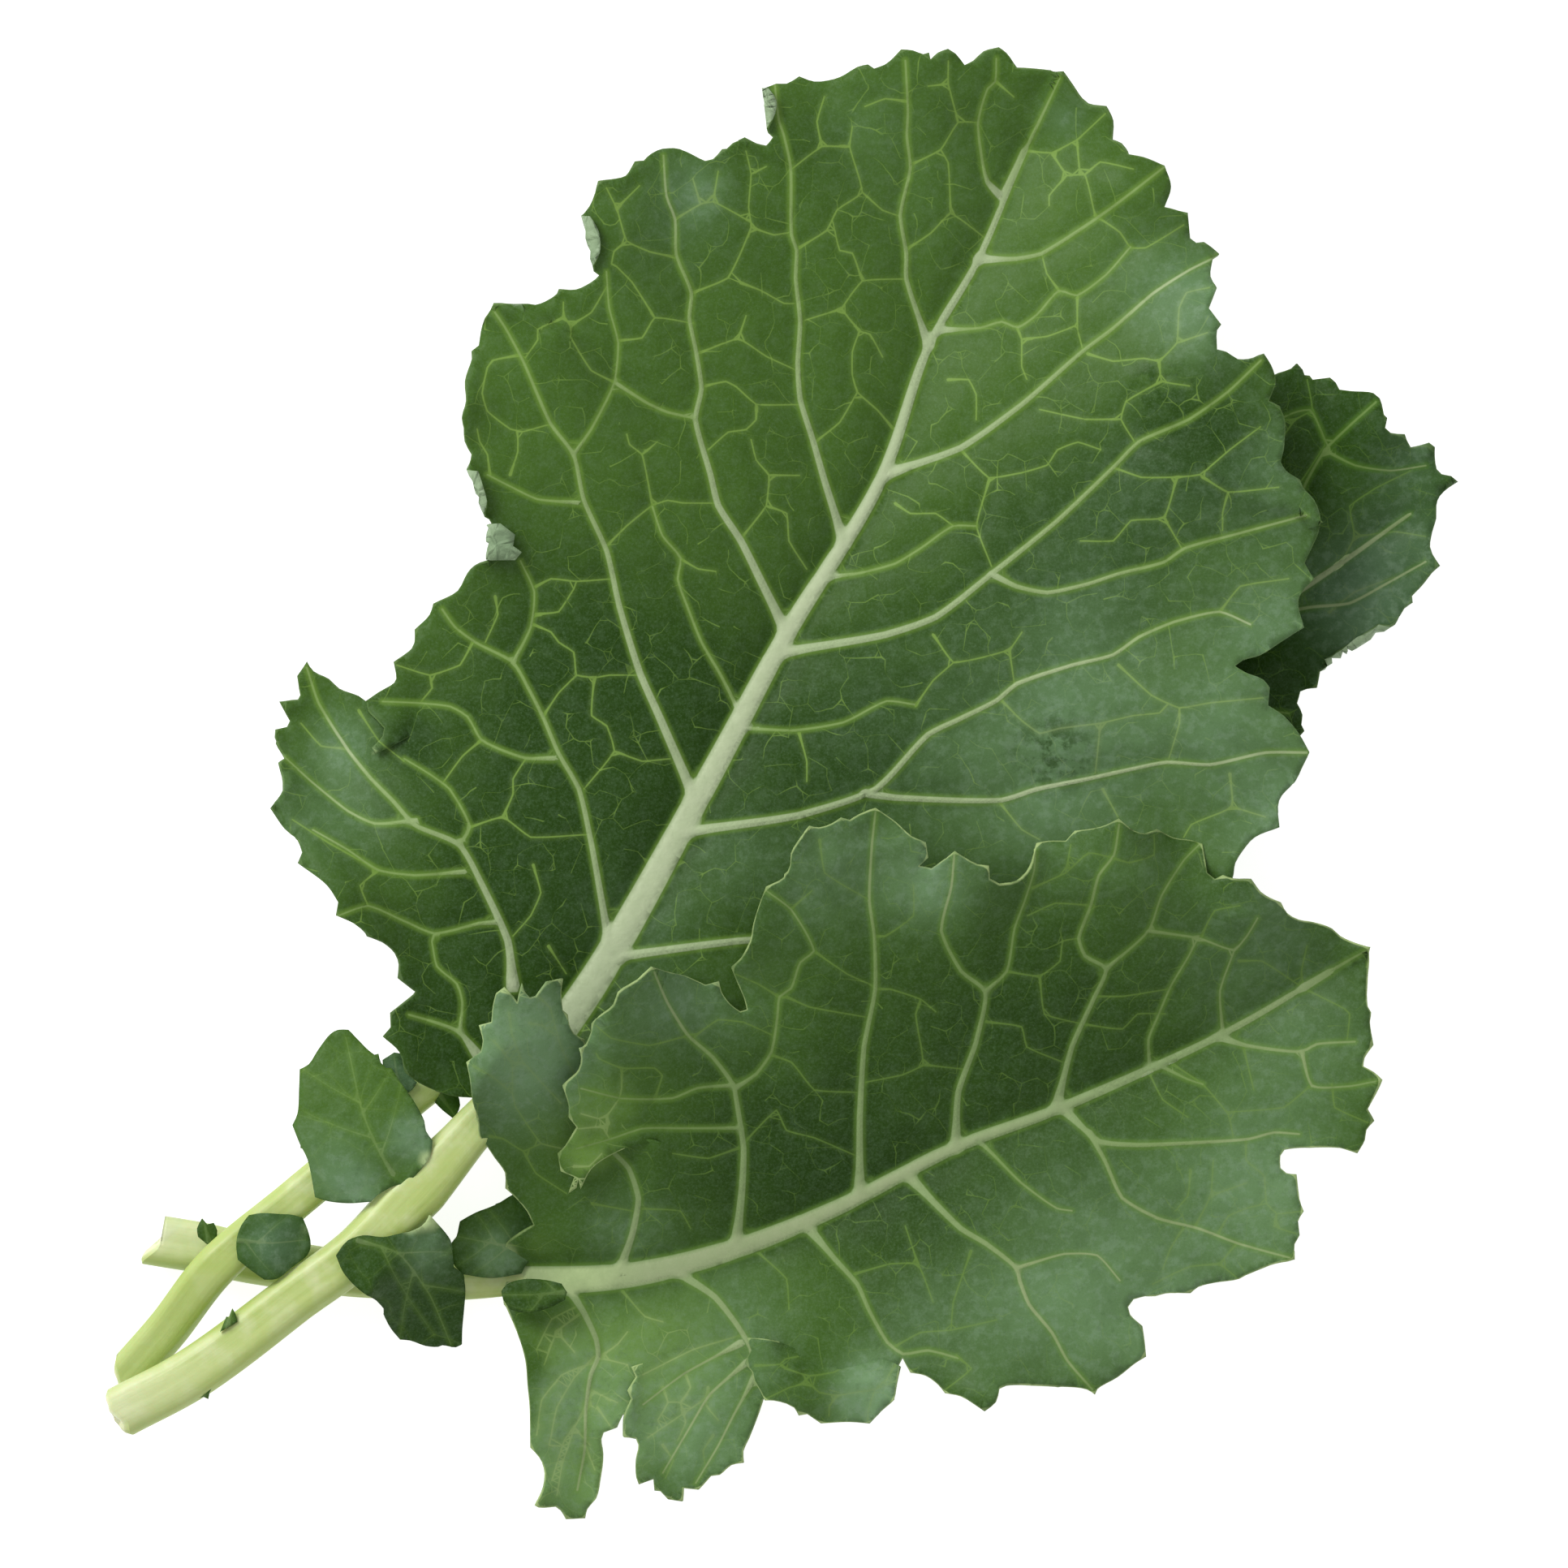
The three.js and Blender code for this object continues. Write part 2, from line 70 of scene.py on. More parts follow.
Point = tuple[float, float]
Course = tuple[Point, ...]
Numbers = np.ndarray


class Slot(Enum):
    """The finishes that the record names."""

    STEM = "stem"
    LARGE = "large_blade"
    FRONT = "front_blade"
    BACK = "back_blade"


# ---------------------------------------------------------------- lines


def xy(*run: float) -> Course:
    """Points from a run of x and y by turns."""
    return tuple(zip(run[::2], run[1::2]))


def courses(*runs: tuple[float, ...]) -> tuple[Course, ...]:
    """Several lines of points, each from a run of x and y by turns."""
    return tuple(xy(*run) for run in runs)


def smoothstep(value: Numbers, low: float, high: float) -> Numbers:
    """A smooth rise from 0 at low to 1 at high."""
    share = np.clip((value - low) / (high - low), 0, 1)
    return share * share * (3 - 2 * share)


def blend(first: Numbers, second: Numbers, reach: float) -> tuple[Numbers, Numbers]:
    """The smaller of two distances, rounded off where they are alike.

    Args:
        first: One distance for each place.
        second: The other distance.
        reach: How far apart they may be and still round each other off.

    Returns:
        The distance, and the share that the first one has in it.
    """
    share = np.clip(0.5 + 0.5 * (second - first) / reach, 0, 1)
    return second + (first - second) * share - reach / 2 * share * (1 - share), share


def arc(knots: Numbers, shares: Numbers, bend: float = 1.0) -> Numbers:
    """A centripetal spline between the middle two of four knots.

    Args:
        knots: Four rows of coordinates.
        shares: Places between the second knot (0) and the third (1).
        bend: 1 for a smooth turn at each knot, 0 for straight lines.

    Returns:
        One row of coordinates for each share.
    """
    gaps = [max(float(np.sum((b - a) ** 2)) ** 0.25, 1e-4) for a, b in zip(knots, knots[1:])]
    a, b, c, d = knots
    leave = ((b - a) / gaps[0] - (c - a) / (gaps[0] + gaps[1]) + (c - b) / gaps[1]) * gaps[1]
    reach = ((c - b) / gaps[1] - (d - b) / (gaps[1] + gaps[2]) + (d - c) / gaps[2]) * gaps[1]
    leave, reach = (bend * way + (1 - bend) * (c - b) for way in (leave, reach))
    t = shares[:, None]
    curve = b + leave * t + (-3 * b + 3 * c - 2 * leave - reach) * t**2
    return curve + (2 * b - 2 * c + leave + reach) * t**3


def trace(
    points: Sequence, pitch: float, closed: bool = False, teeth: bool = False, bend: float = 1.0
) -> Numbers:
    """A smooth path through points, kept sharp at the teeth of a margin.

    Args:
        points: The points that the path passes through.
        pitch: The length of one step.
        closed: Whether the path returns to its start, as a margin does.
        teeth: Whether an open path has teeth too.
        bend: How smoothly the path turns at its points.

    Returns:
        The places along the path, one a row.
    """
    knots = np.array(points, float)
    count = len(knots)
    sharp = np.zeros(count, bool)
    if closed or teeth:
        into = knots - np.roll(knots, 1, 0)
        away = np.roll(knots, -1, 0) - knots
        turn = np.arctan2(into[:, 0] * away[:, 1] - into[:, 1] * away[:, 0], (into * away).sum(1))
        sharp = np.abs(turn) > SHARP_TURN
    rows = []
    for i in range(count if closed else count - 1):
        b, c = knots[i], knots[(i + 1) % count]
        start = sharp[i] or (not closed and i == 0)
        end = sharp[(i + 1) % count] or (not closed and i == count - 2)
        a = 2 * b - c if start else knots[i - 1]
        d = 2 * c - b if end else knots[(i + 2) % count]
        steps = max(1, round(float(np.linalg.norm((c - b)[:2])) / pitch))
        rows.append(arc(np.array([a, b, c, d]), np.arange(steps) / steps, bend))
    if not closed:
        rows.append(knots[-1:])
    return np.vstack(rows)


@dataclass(frozen=True)
class Place:
    """Where points lie along a line: signed offset, height, radius and distance along it."""

    off: Numbers
    height: Numbers
    radius: Numbers
    along: Numbers


@dataclass(frozen=True)
class Rib:
    """The centre line of a stem and its midrib: rows of x, y, height and radius."""

    rows: tuple[tuple[float, float, float, float], ...]
    steps: int = 80

    def line(self, steps: int) -> Numbers:
        """The centre line, smooth through its rows.

        Args:
            steps: How many steps it is cut into.

        Returns:
            Rows of x, y, height, radius and distance along it.
        """
        table = np.array(self.rows, float)
        shares = np.arange(steps + 1) / steps * (len(table) - 1)
        index = np.minimum(shares.astype(int), len(table) - 2)
        padded = np.vstack([2 * table[0] - table[1], table, 2 * table[-1] - table[-2]])
        spots = [arc(padded[i : i + 4, :3], np.array([s - i]))[0] for i, s in zip(index, shares)]
        spots = np.array(spots)
        part = shares - index
        radius = table[index, 3] * (1 - part) + table[index + 1, 3] * part
        along = np.concatenate([[0], np.cumsum(np.hypot(*np.diff(spots[:, :2], axis=0).T))])
        return np.column_stack([spots, radius, along])

    def nearest(self, at: Numbers) -> Place:
        """The nearest place on the centre line for each point seen from above.

        Args:
            at: Points, one x and y a row.

        Returns:
            Their places, with a positive offset on the left of the line.
        """
        line = self.line(self.steps)
        run = np.diff(line[:, :2], axis=0)
        rel = at[:, None, :] - line[None, :-1, :2]
        t = np.clip((rel * run).sum(2) / (run**2).sum(1), 0, 1)
        gap = rel - t[..., None] * run
        best = (gap**2).sum(2).argmin(1)
        rows = np.arange(len(at))
        t, gap, run = t[rows, best], gap[rows, best], run[best]
        side = np.where(run[:, 0] * gap[:, 1] - run[:, 1] * gap[:, 0] < 0, -1, 1)
        mixed = line[best] * (1 - t[:, None]) + line[best + 1] * t[:, None]
        return Place(np.hypot(*gap.T) * side, mixed[:, 2], mixed[:, 3], mixed[:, 4])


@dataclass(frozen=True)
class Vein:
    """A side vein: its course from above and its widths at both ends."""

    course: Course
    base: float = 2.0
    tip: float = 0.5
    flare: float = 0.9
    flare_length: float = 3.5
    bend: float = 0.55
    taper: float = 0.6

    def rows(self, pitch: float) -> Numbers:
        """The course as rows of x, y and half width.

        Args:
            pitch: The length of one step.

        Returns:
            The rows, from the base to the tip.
        """
        path = trace(self.course, pitch, bend=self.bend)
        along = np.concatenate([[0], np.cumsum(np.hypot(*np.diff(path, axis=0).T))])
        share = (along / along[-1]) ** self.taper
        half = (self.base + (self.tip - self.base) * share) / 2
        half += self.flare / 2 * np.exp(-((along / self.flare_length) ** 2))
        return np.column_stack([path, half])


def link(course: Course) -> Numbers:
    """A fine vein that is listed, as rows of x, y and half width."""
    vein = Vein(course, base=0.38, tip=0.28, flare=0.3, flare_length=1.6, bend=0.3)
    return vein.rows(PITCH)


class Traces:
    """A cloud of points along lines, to read how far off each place of a blade lies."""

    def __init__(self, rows: Numbers) -> None:
        """Sorts the points, so that the nearest is found fast.

        Args:
            rows: x, y and half width of each point.
        """
        self.rows = rows
        self.tree = KDTree(len(rows))
        for i, row in enumerate(rows):
            self.tree.insert((row[0], row[1], 0), i)
        self.tree.balance()

    def read(self, at: Numbers) -> tuple[Numbers, Numbers, Numbers]:
        """Finds the nearest point to each place.

        Args:
            at: The places, one x and y a row.

        Returns:
            The distances, the half widths of the points, and the points.
        """
        found = [self.tree.find((x, y, 0)) for x, y in at]
        index = np.array([f[1] for f in found])
        return np.array([f[2] for f in found]), self.rows[index, 2], self.rows[index, :2]


def inside(at: Numbers, loop: Numbers) -> Numbers:
    """Whether each point lies inside a closed loop.

    Args:
        at: The points, one x and y a row.
        loop: The corners of the loop in order.

    Returns:
        True or False for each point.
    """
    x, y = at[:, 0][:, None], at[:, 1][:, None]
    a, b = loop, np.roll(loop, -1, 0)
    crosses = (a[:, 1] > y) != (b[:, 1] > y)
    slope = (b[:, 0] - a[:, 0]) / np.where(b[:, 1] == a[:, 1], 1e-9, b[:, 1] - a[:, 1])
    return (crosses & (x < a[:, 0] + (y - a[:, 1]) * slope)).sum(1) % 2 == 1


# ---------------------------------------------------------------- leaf forms


@dataclass(frozen=True)
class Swell:
    """A broad rise of a blade, or a soft patch of its colour, among them painted light, shade and sheen:
    centre, radius and height.
    """

    x: float
    y: float
    radius: float
    height: float

    def at(self, where: Numbers) -> Numbers:
        """The rise at each point."""
        gap = (where[:, 0] - self.x) ** 2 + (where[:, 1] - self.y) ** 2
        return self.height * np.exp(-gap / self.radius**2)


def swells(*rows: tuple[float, float, float, float]) -> tuple[Swell, ...]:
    """Rises or patches from rows of x, y, radius and height."""
    return tuple(Swell(*row) for row in rows)


@dataclass(frozen=True)
class Form:
    """The height of a leaf's blade around its midrib."""

    rib: Rib
    spread: tuple[tuple[float, ...], ...]
    swells: tuple[Swell, ...] = ()
    seat: float = -0.25
    valley: float = 3.6
    valley_width: float = 10
    power: float = 1.25
    past: float = 0.25
    ruffle: float = 2.0
    ruffle_length: float = 37
    slant: float = 0.55

    def margin(self, along: Numbers, left: Numbers) -> tuple[Numbers, Numbers]:
        """Where the margin lies beside places on the rib.

        Args:
            along: Distances along the rib.
            left: Whether the left side is asked for, at each distance.

        Returns:
            The margin's reach from the rib, and its height.
        """
        rows = np.array(self.spread)
        index = np.clip(np.searchsorted(rows[1:-1, 0], along, "left"), 0, len(rows) - 2)
        share = smoothstep((along - rows[index, 0]) / (rows[index + 1, 0] - rows[index, 0]), 0, 1)
        column = np.where(left, 1, 3)
        values = [
            rows[index, column + k] * (1 - share) + rows[index + 1, column + k] * share
            for k in (0, 1)
        ]
        return values[0], values[1]

    def height(self, at: Numbers) -> Numbers:
        """The height of the blade's underside.

        Args:
            at: Points seen from above.

        Returns:
            The height at each of them.
        """
        place = self.rib.nearest(at)
        off = np.maximum(np.abs(place.off) - place.radius, 0)
        reach, edge = self.margin(place.along, place.off > 0)
        reach = reach - place.radius
        seat = place.height + self.seat * place.radius
        share = np.minimum(off / reach, 1 + self.past * (off / reach - 1))
        rise = self.valley * (1 - np.exp(-off / self.valley_width))
        wave = np.sin(2 * np.pi * (place.along - self.slant * off) / self.ruffle_length)
        z = seat + rise + (edge - seat - self.valley) * share**self.power
        z += self.ruffle * share**3 * wave
        for swell in self.swells:
            z += swell.at(at)
        return np.maximum(z, 0)


@dataclass(frozen=True)
class Fold:
    """A strip of margin rolled over onto the blade; the strip lies on the line's left."""

    start: Point
    end: Point
    width: float = 5.0
    radius: float = 0.8

    def apply(self, at: Numbers) -> tuple[Numbers, Numbers]:
        """Rolls the strip over.

        Args:
            at: Points seen from above, before the fold.

        Returns:
            The points after it, and how far each has risen.
        """
        start, end = np.array(self.start), np.array(self.end)
        run = (end - start) / np.linalg.norm(end - start)
        out = np.array([-run[1], run[0]])
        q = (at - start) @ out
        s = (at - start) @ run
        near = (q > 0) & (q < self.width) & (s > 0) & (s < np.linalg.norm(end - start))
        turn = np.clip(q / self.radius, 0, math.pi)
        moved = self.radius * np.sin(turn) - np.maximum(q - math.pi * self.radius, 0)
        shift = np.where(near, moved - q, 0)
        return at + shift[:, None] * out, np.where(near, self.radius * (1 - np.cos(turn)), 0)


# ---------------------------------------------------------------- fine veins


@dataclass(frozen=True)
class Net:
    """The mesh of fine veins between the main ones, grown from seeded cells."""

    cell: float = 13.0
    seed: int = 1
    width: float = 0.46
    snap: float = 2.2  # a border that comes this near a main vein ends on it
    bow: float = 0.07  # how far veins curve, as a share of their length
    finer: float = 0.46  # size of the finer cells, as a share of a cell
    kept: float = 0.62  # share of the finer borders that become veins
    fine_kept: float = 0.95  # the same share for the fine borders
    faint: float = 0.2  # how much thinner the finer veins are
    shake: float = 0.36  # how far the cells leave the honeycomb, in cells
    shortest: float = 0.3
    step: float = 1.3
    wobble: float = 1.2
    widths: tuple[float, float] = (0.45, 1.05)
    thinning: float = 2.6
    end_width: float = 0.1
    fading: float = 0.6

    def cells(self, pitch: float, low: Numbers, high: Numbers) -> Numbers:
        """The middles of the cells, on a shaken honeycomb.

        Args:
            pitch: Size of a cell.
            low: Lowest corner of the blade.
            high: Highest corner of the blade.

        Returns:
            One x and y a row.
        """
        chance = np.random.default_rng(self.seed + 7)
        rows = []
        for j, y in enumerate(np.arange(low[1] - pitch, high[1] + pitch, pitch * HONEYCOMB)):
            xs = np.arange(low[0] - pitch * (1 + j % 2 / 2), high[0] + pitch, pitch)
            rows.append(np.column_stack([xs, np.full(len(xs), y)]))
        spots = np.vstack(rows)
        return spots + chance.uniform(-self.shake, self.shake, spots.shape) * pitch

    def veins(
        self, mains: list[Numbers], links: list[Numbers], low: Numbers, high: Numbers
    ) -> list[list[Numbers]]:
        """The fine veins and the finer ones between them, as rows of x, y and half width.

        Args:
            mains: The main veins, as rows of x, y and half width.
            links: Fine veins that are listed, which stand in for seeded ones.
            low: Lowest corner of the blade.
            high: Highest corner of the blade.

        Returns:
            Two lists with the rows of each vein.
        """
        fine = links or self.grow(
            self.cells(self.cell, low, high), mains, self.cell, self.fine_kept, 0.0
        )
        pitch = self.cell * self.finer
        cells = self.cells(pitch, low, high)
        return [fine, self.grow(cells, mains + fine, pitch, self.kept, self.faint)]

    def grow(
        self, spots: Numbers, mains: list[Numbers], cell: float, kept: float, faint: float
    ) -> list[Numbers]:
        """The borders of cells as veins that end on the wider ones.

        Args:
            spots: The middles of the cells.
            mains: The wider veins.
            cell: Size of a cell.
            kept: Share of the borders that become veins.
            faint: How much is taken off the half widths, so that a vein fades.

        Returns:
            Rows of x, y and half width for each vein.
        """
        chance = np.random.default_rng(self.seed + 1)
        points, _, faces, *_ = delaunay_2d_cdt([Vector(p) for p in spots], [], [], 0, 1e-4)
        flat = np.array([tuple(p) for p in points])
        middles, edges = [], {}
        for i, (a, b, c) in enumerate(flat[list(f)] for f in faces):
            ab, ac = b - a, c - a
            twice = 2 * (ab[0] * ac[1] - ab[1] * ac[0])
            square = np.array([ab @ ab, ac @ ac])
            lift = np.array([ac[1] * square[0] - ab[1] * square[1],
                             ab[0] * square[1] - ac[0] * square[0]])
            middles.append(a + lift / twice)
            corners = faces[i]
            for j in range(3):
                edges.setdefault(frozenset((corners[j], corners[j - 1])), []).append(i)
        clouds = Traces(np.vstack(mains))
        middle = np.array(middles)
        far, half, foot = clouds.read(middle)
        touching = far < self.snap * cell / self.cell + np.maximum(half, 0)
        middle[touching] = foot[touching]
        made = []
        for pair in edges.values():
            if len(pair) < 2 or touching[pair].all() or chance.uniform() > kept:
                continue
            a, b = middle[pair[0]], middle[pair[1]]
            length = float(np.hypot(*(b - a)))
            if length < self.shortest or length > 3 * cell:
                continue
            steps = max(2, round(length / self.step))
            t = np.linspace(0, 1, steps + 1)[:, None]
            across = np.array([-(b - a)[1], (b - a)[0]]) * chance.normal(0, self.bow)
            path = a + (b - a) * t + across * 4 * t * (1 - t)
            path += across * self.wobble * np.sin(t * 9 + chance.uniform(0, 6)) * t * (1 - t)
            width = self.width * chance.uniform(*self.widths) / 2 * (1 - self.thinning * faint)
            start, end = (self.end_width * touching[i] for i in pair)
            ends = start * (1 - t) ** 2 + end * t**2
            lean = chance.uniform(-self.fading, self.fading)
            fade = faint * (0.5 + lean * (t if chance.uniform() < 0.5 else 1 - t))
            made.append(np.column_stack([path, width + (ends * (faint == 0) - fade)[:, 0]]))
        return made


# ---------------------------------------------------------------- sheets of leaf


@dataclass
class Layer:
    """One flat lay-out of a blade, before it is bent: its margin, veins and height."""

    margin: Numbers
    edge: Numbers
    mains: list[Numbers]
    height: Callable[[Numbers], Numbers]
    fill: float = 1.5  # distance between the places that fill it
    links: list[Numbers] = field(default_factory=list)
    shake: float = 0.12  # how far those places are shaken, in distances
    clear: float = 0.62  # how far they keep off a line, in distances
    widest: float = 0.08  # area of the widest triangle that stays between lines

    def teeth_far(self, flat: Numbers) -> Numbers:
        """Distance to the nearest tooth of the margin.

        Args:
            flat: The places, seen from above.

        Returns:
            The distance from each of them.
        """
        across = np.roll(self.margin, -1, 0)
        side = np.sign((self.margin[:, 0] * across[:, 1] - self.margin[:, 1] * across[:, 0]).sum())
        into, away = np.diff(self.edge, axis=0)[:-1], np.diff(self.edge, axis=0)[1:]
        turn = np.arctan2(into[:, 0] * away[:, 1] - into[:, 1] * away[:, 0], (into * away).sum(1))
        spots = self.edge[1:-1][turn * side > SHARP_TURN]
        if not len(spots):
            return np.full(len(flat), FAR)
        return Traces(np.column_stack([spots, np.zeros(len(spots))])).read(flat)[0]

    def lay_out(self, fine: list[Numbers]) -> tuple[Numbers, list[tuple[int, ...]]]:
        """Triangles that follow the margin and every vein.

        Args:
            fine: The fine veins, as rows of x, y and half width.

        Returns:
            The corners seen from above, and the triangles.
        """
        spots = [self.margin]
        count = len(self.margin)
        edges: list[tuple[int, int]] = []
        for rows in self.tracks() + [r[:, :2] for r in fine]:
            keep = inside(rows, self.margin)
            keep = keep | np.append(keep[1:], False) | np.append(False, keep[:-1])
            if not keep.any():
                continue
            order = np.cumsum(keep) - 1 + count
            edges.extend((order[i], order[i + 1]) for i in np.nonzero(keep[:-1] & keep[1:])[0])
            spots.append(rows[keep])
            count += len(spots[-1])
        fixed = np.vstack(spots)
        spots.append(self.scatter(fixed))
        points = np.vstack(spots)
        face = list(range(len(self.margin)))
        corners, _, triangles, sources, *_ = delaunay_2d_cdt(
            [Vector(p) for p in points], edges, [face], 1, SAME_CORNER
        )
        flat = np.array([tuple(p) for p in corners])
        on_line = np.array([any(k < len(fixed) for k in source) for source in sources])
        table = np.array(triangles)
        middles = flat[table].mean(1)
        parts = np.array_split(middles, max(1, len(middles) // CHUNK))
        table = table[np.concatenate([inside(part, self.margin) for part in parts])]
        return self.open_corners(flat, table, on_line)

    def open_corners(
        self, flat: Numbers, table: Numbers, on_line: Numbers
    ) -> tuple[Numbers, list[tuple[int, ...]]]:
        """Splits triangles that have every corner on a line, so that lines stay thin there.

        Args:
            flat: The corners seen from above.
            table: The triangles, three corners a row.
            on_line: Whether each corner lies on a line.

        Returns:
            The corners with the new ones, and the triangles.
        """
        a, b, c = (flat[table[:, k]] for k in range(3))
        area = np.abs((b - a)[:, 0] * (c - a)[:, 1] - (b - a)[:, 1] * (c - a)[:, 0]) / 2
        wide = on_line[table].all(1) & (area > self.widest)
        split = table[wide]
        index = len(flat) + np.arange(len(split))
        pieces = [np.column_stack([split[:, k], split[:, k - 2], index]) for k in range(3)]
        table = np.vstack([table[~wide], *pieces])
        return np.vstack([flat, flat[split].mean(1)]), [tuple(row) for row in table.tolist()]

    def tracks(self) -> list[Numbers]:
        """The middle of each main vein, and both its borders where it is wide.

        Returns:
            One array of x and y for each line.
        """
        lines = []
        for rows in self.mains:
            lines.append(rows[:, :2])
            run = np.gradient(rows[:, :2], axis=0)
            out = np.column_stack([-run[:, 1], run[:, 0]])
            out /= np.maximum(np.hypot(*out.T), 1e-6)[:, None]
            for least, shares in VEIN_BORDERS:
                wide = rows[:, 2] > least
                if wide.sum() > 2:
                    lines.extend((rows[:, :2] + k * out * rows[:, 2:3])[wide] for k in shares)
        return lines

    def scatter(self, fixed: Numbers) -> Numbers:
        """Places that fill the blade between its lines.

        Args:
            fixed: The places on its lines.

        Returns:
            One x and y a row.
        """
        low, high = self.margin.min(0), self.margin.max(0)
        rise = self.fill * math.sqrt(3) / 2
        rows = []
        for j, y in enumerate(np.arange(low[1], high[1], rise)):
            xs = np.arange(low[0] + (j % 2) * self.fill / 2, high[0], self.fill)
            rows.append(np.column_stack([xs, np.full(len(xs), y)]))
        grid = np.vstack(rows)
        chance = np.random.default_rng(5)
        grid += chance.uniform(-self.shake, self.shake, grid.shape) * self.fill
        parts = np.array_split(grid, max(1, len(grid) // CHUNK))
        grid = np.vstack([part[inside(part, self.margin)] for part in parts])
        tree = KDTree(len(fixed))
        for i, (x, y) in enumerate(fixed):
            tree.insert((x, y, 0), i)
        tree.balance()
        gap = self.clear * self.fill
        return grid[[tree.find((x, y, 0))[2] > gap for x, y in grid]]


@dataclass
class Sheet:
    """A blade or leaflet: a thin sheet with veins, pillows between them and a wavy margin."""

    name: str
    replaces: tuple[str, ...]
    slot: Slot
    layers: list[Layer]
    net: Net
    folds: tuple[Fold, ...] = ()
    # patches of painted light and shade over the leaf's own tone, and of wax bloom under a painted sheen
    tone_light_and_shade: tuple[Swell, ...] = ()
    bloom_and_sheen: tuple[Swell, ...] = ()
    wet: tuple[Swell, ...] = ()
    pale: tuple[Swell, ...] = ()
    links: tuple[Course, ...] = ()
    light: float = 0.6
    show: float = 1.0
    rim: bool = True
    pillow: float = 0.45
    furrow: float = 1.2
    furrow_width: float = 6.5
    frill: float = 0.9
    frill_length: float = 11.0
    frill_gain: float = 2.4
    crinkle: float = 0.12
    crinkle_scale: float = 0.35
    frill_band: float = 6.0
    vein_rise: float = 0.45
    vein_cap: float = 1.4
    widest_vein: float = 1.6
    pillow_width: float = 2.4
    small_pillow: float = 0.3
    tooth_tip: float = 0.6
    tooth_reach: float = 0.5
    soften: tuple[float, float] = (1.6, 0.8)
    thickness: float = BLADE

    def build(self, top: bpy.types.Material, under: bpy.types.Material) -> bpy.types.Object:
        """Makes the sheet's object.

        Args:
            top: Finish of its upper side.
            under: Finish of its lower side.

        Returns:
            The finished object.
        """
        margin = np.vstack([layer.margin for layer in self.layers])
        mains = [rows for layer in self.layers for rows in layer.mains]
        links = [link(course) for course in self.links]
        fine = self.net.veins(mains, links, margin.min(0), margin.max(0))
        places, flats, facts, faces = [], [], [], []
        for layer in self.layers:
            own = [layer.links or fine[0], fine[1]]
            flat, triangles = layer.lay_out(own[0] + own[1])
            shift = sum(len(p) for p in places)
            solid, fact = self.bend(layer, flat, own)
            places.append(solid)
            flats.append(flat)
            facts.append(fact)
            faces.extend(tuple(i + shift for i in t) for t in triangles)
        place = np.vstack(places)
        if len(self.layers) > 1:
            self.close_seam(np.vstack(flats), place, faces)
        mesh = bpy.data.meshes.new(self.name)
        mesh.from_pydata((place * MM).tolist(), [], faces)
        for key in facts[0]:
            layer_values = np.concatenate([fact[key] for fact in facts])
            mesh.attributes.new(key, "FLOAT", "POINT").data.foreach_set("value", layer_values)
        work = bmesh.new()
        work.from_mesh(mesh)
        bmesh.ops.remove_doubles(work, verts=work.verts, dist=WELD)
        loose = [v for v in work.verts if not v.link_faces]
        bmesh.ops.delete(work, geom=loose, context="VERTS")
        if sum(f.normal.z for f in work.faces) < 0:
            bmesh.ops.reverse_faces(work, faces=work.faces)
        for face in work.faces:
            face.smooth = True
        work.to_mesh(mesh)
        work.free()
        body = bpy.data.objects.new(self.name, mesh)
        bpy.context.scene.collection.objects.link(body)
        mesh.materials.append(top)
        mesh.materials.append(under)
        self.thicken(body)
        return body

    def close_seam(self, flat: Numbers, place: Numbers, faces: list[tuple[int, ...]]) -> None:
        """Brings the corners that two lay-outs share on their rims to one height.

        Args:
            flat: All corners seen from above, before the sheet was bent.
            place: The same corners in space, which are changed.
            faces: The triangles.
        """
        sides: dict[tuple[int, int], int] = {}
        for a, b, c in faces:
            for pair in ((a, b), (b, c), (c, a)):
                key = (min(pair), max(pair))
                sides[key] = sides.get(key, 0) + 1
        rim = {i for pair, count in sides.items() if count == 1 for i in pair}
        shared: dict[tuple[float, float], list[int]] = {}
        for i in rim:
            x, y = np.round(flat[i], 2) + 0.0
            shared.setdefault((x, y), []).append(i)
        for members in shared.values():
            place[members] = place[members].mean(0)

    def thicken(self, body: bpy.types.Object) -> None:
        """Gives the sheet its thickness, with the veins standing out below.

        Args:
            body: The sheet's object.
        """
        values = np.zeros(len(body.data.vertices))
        body.data.attributes["swell"].data.foreach_get("value", values)
        group = body.vertex_groups.new(name="thick")
        for level in range(THICK_STEPS + 1):
            members = np.nonzero(np.round(values * THICK_STEPS) == level)[0].tolist()
            if members:
                group.add(members, level / THICK_STEPS, "REPLACE")
        wall = body.modifiers.new("thickness", "SOLIDIFY")
        wall.thickness = self.thickness * THICKEST * MM
        wall.vertex_group = "thick"
        wall.thickness_vertex_group = 1 / THICKEST
        wall.offset = -1
        wall.material_offset = 1
        wall.material_offset_rim = 0

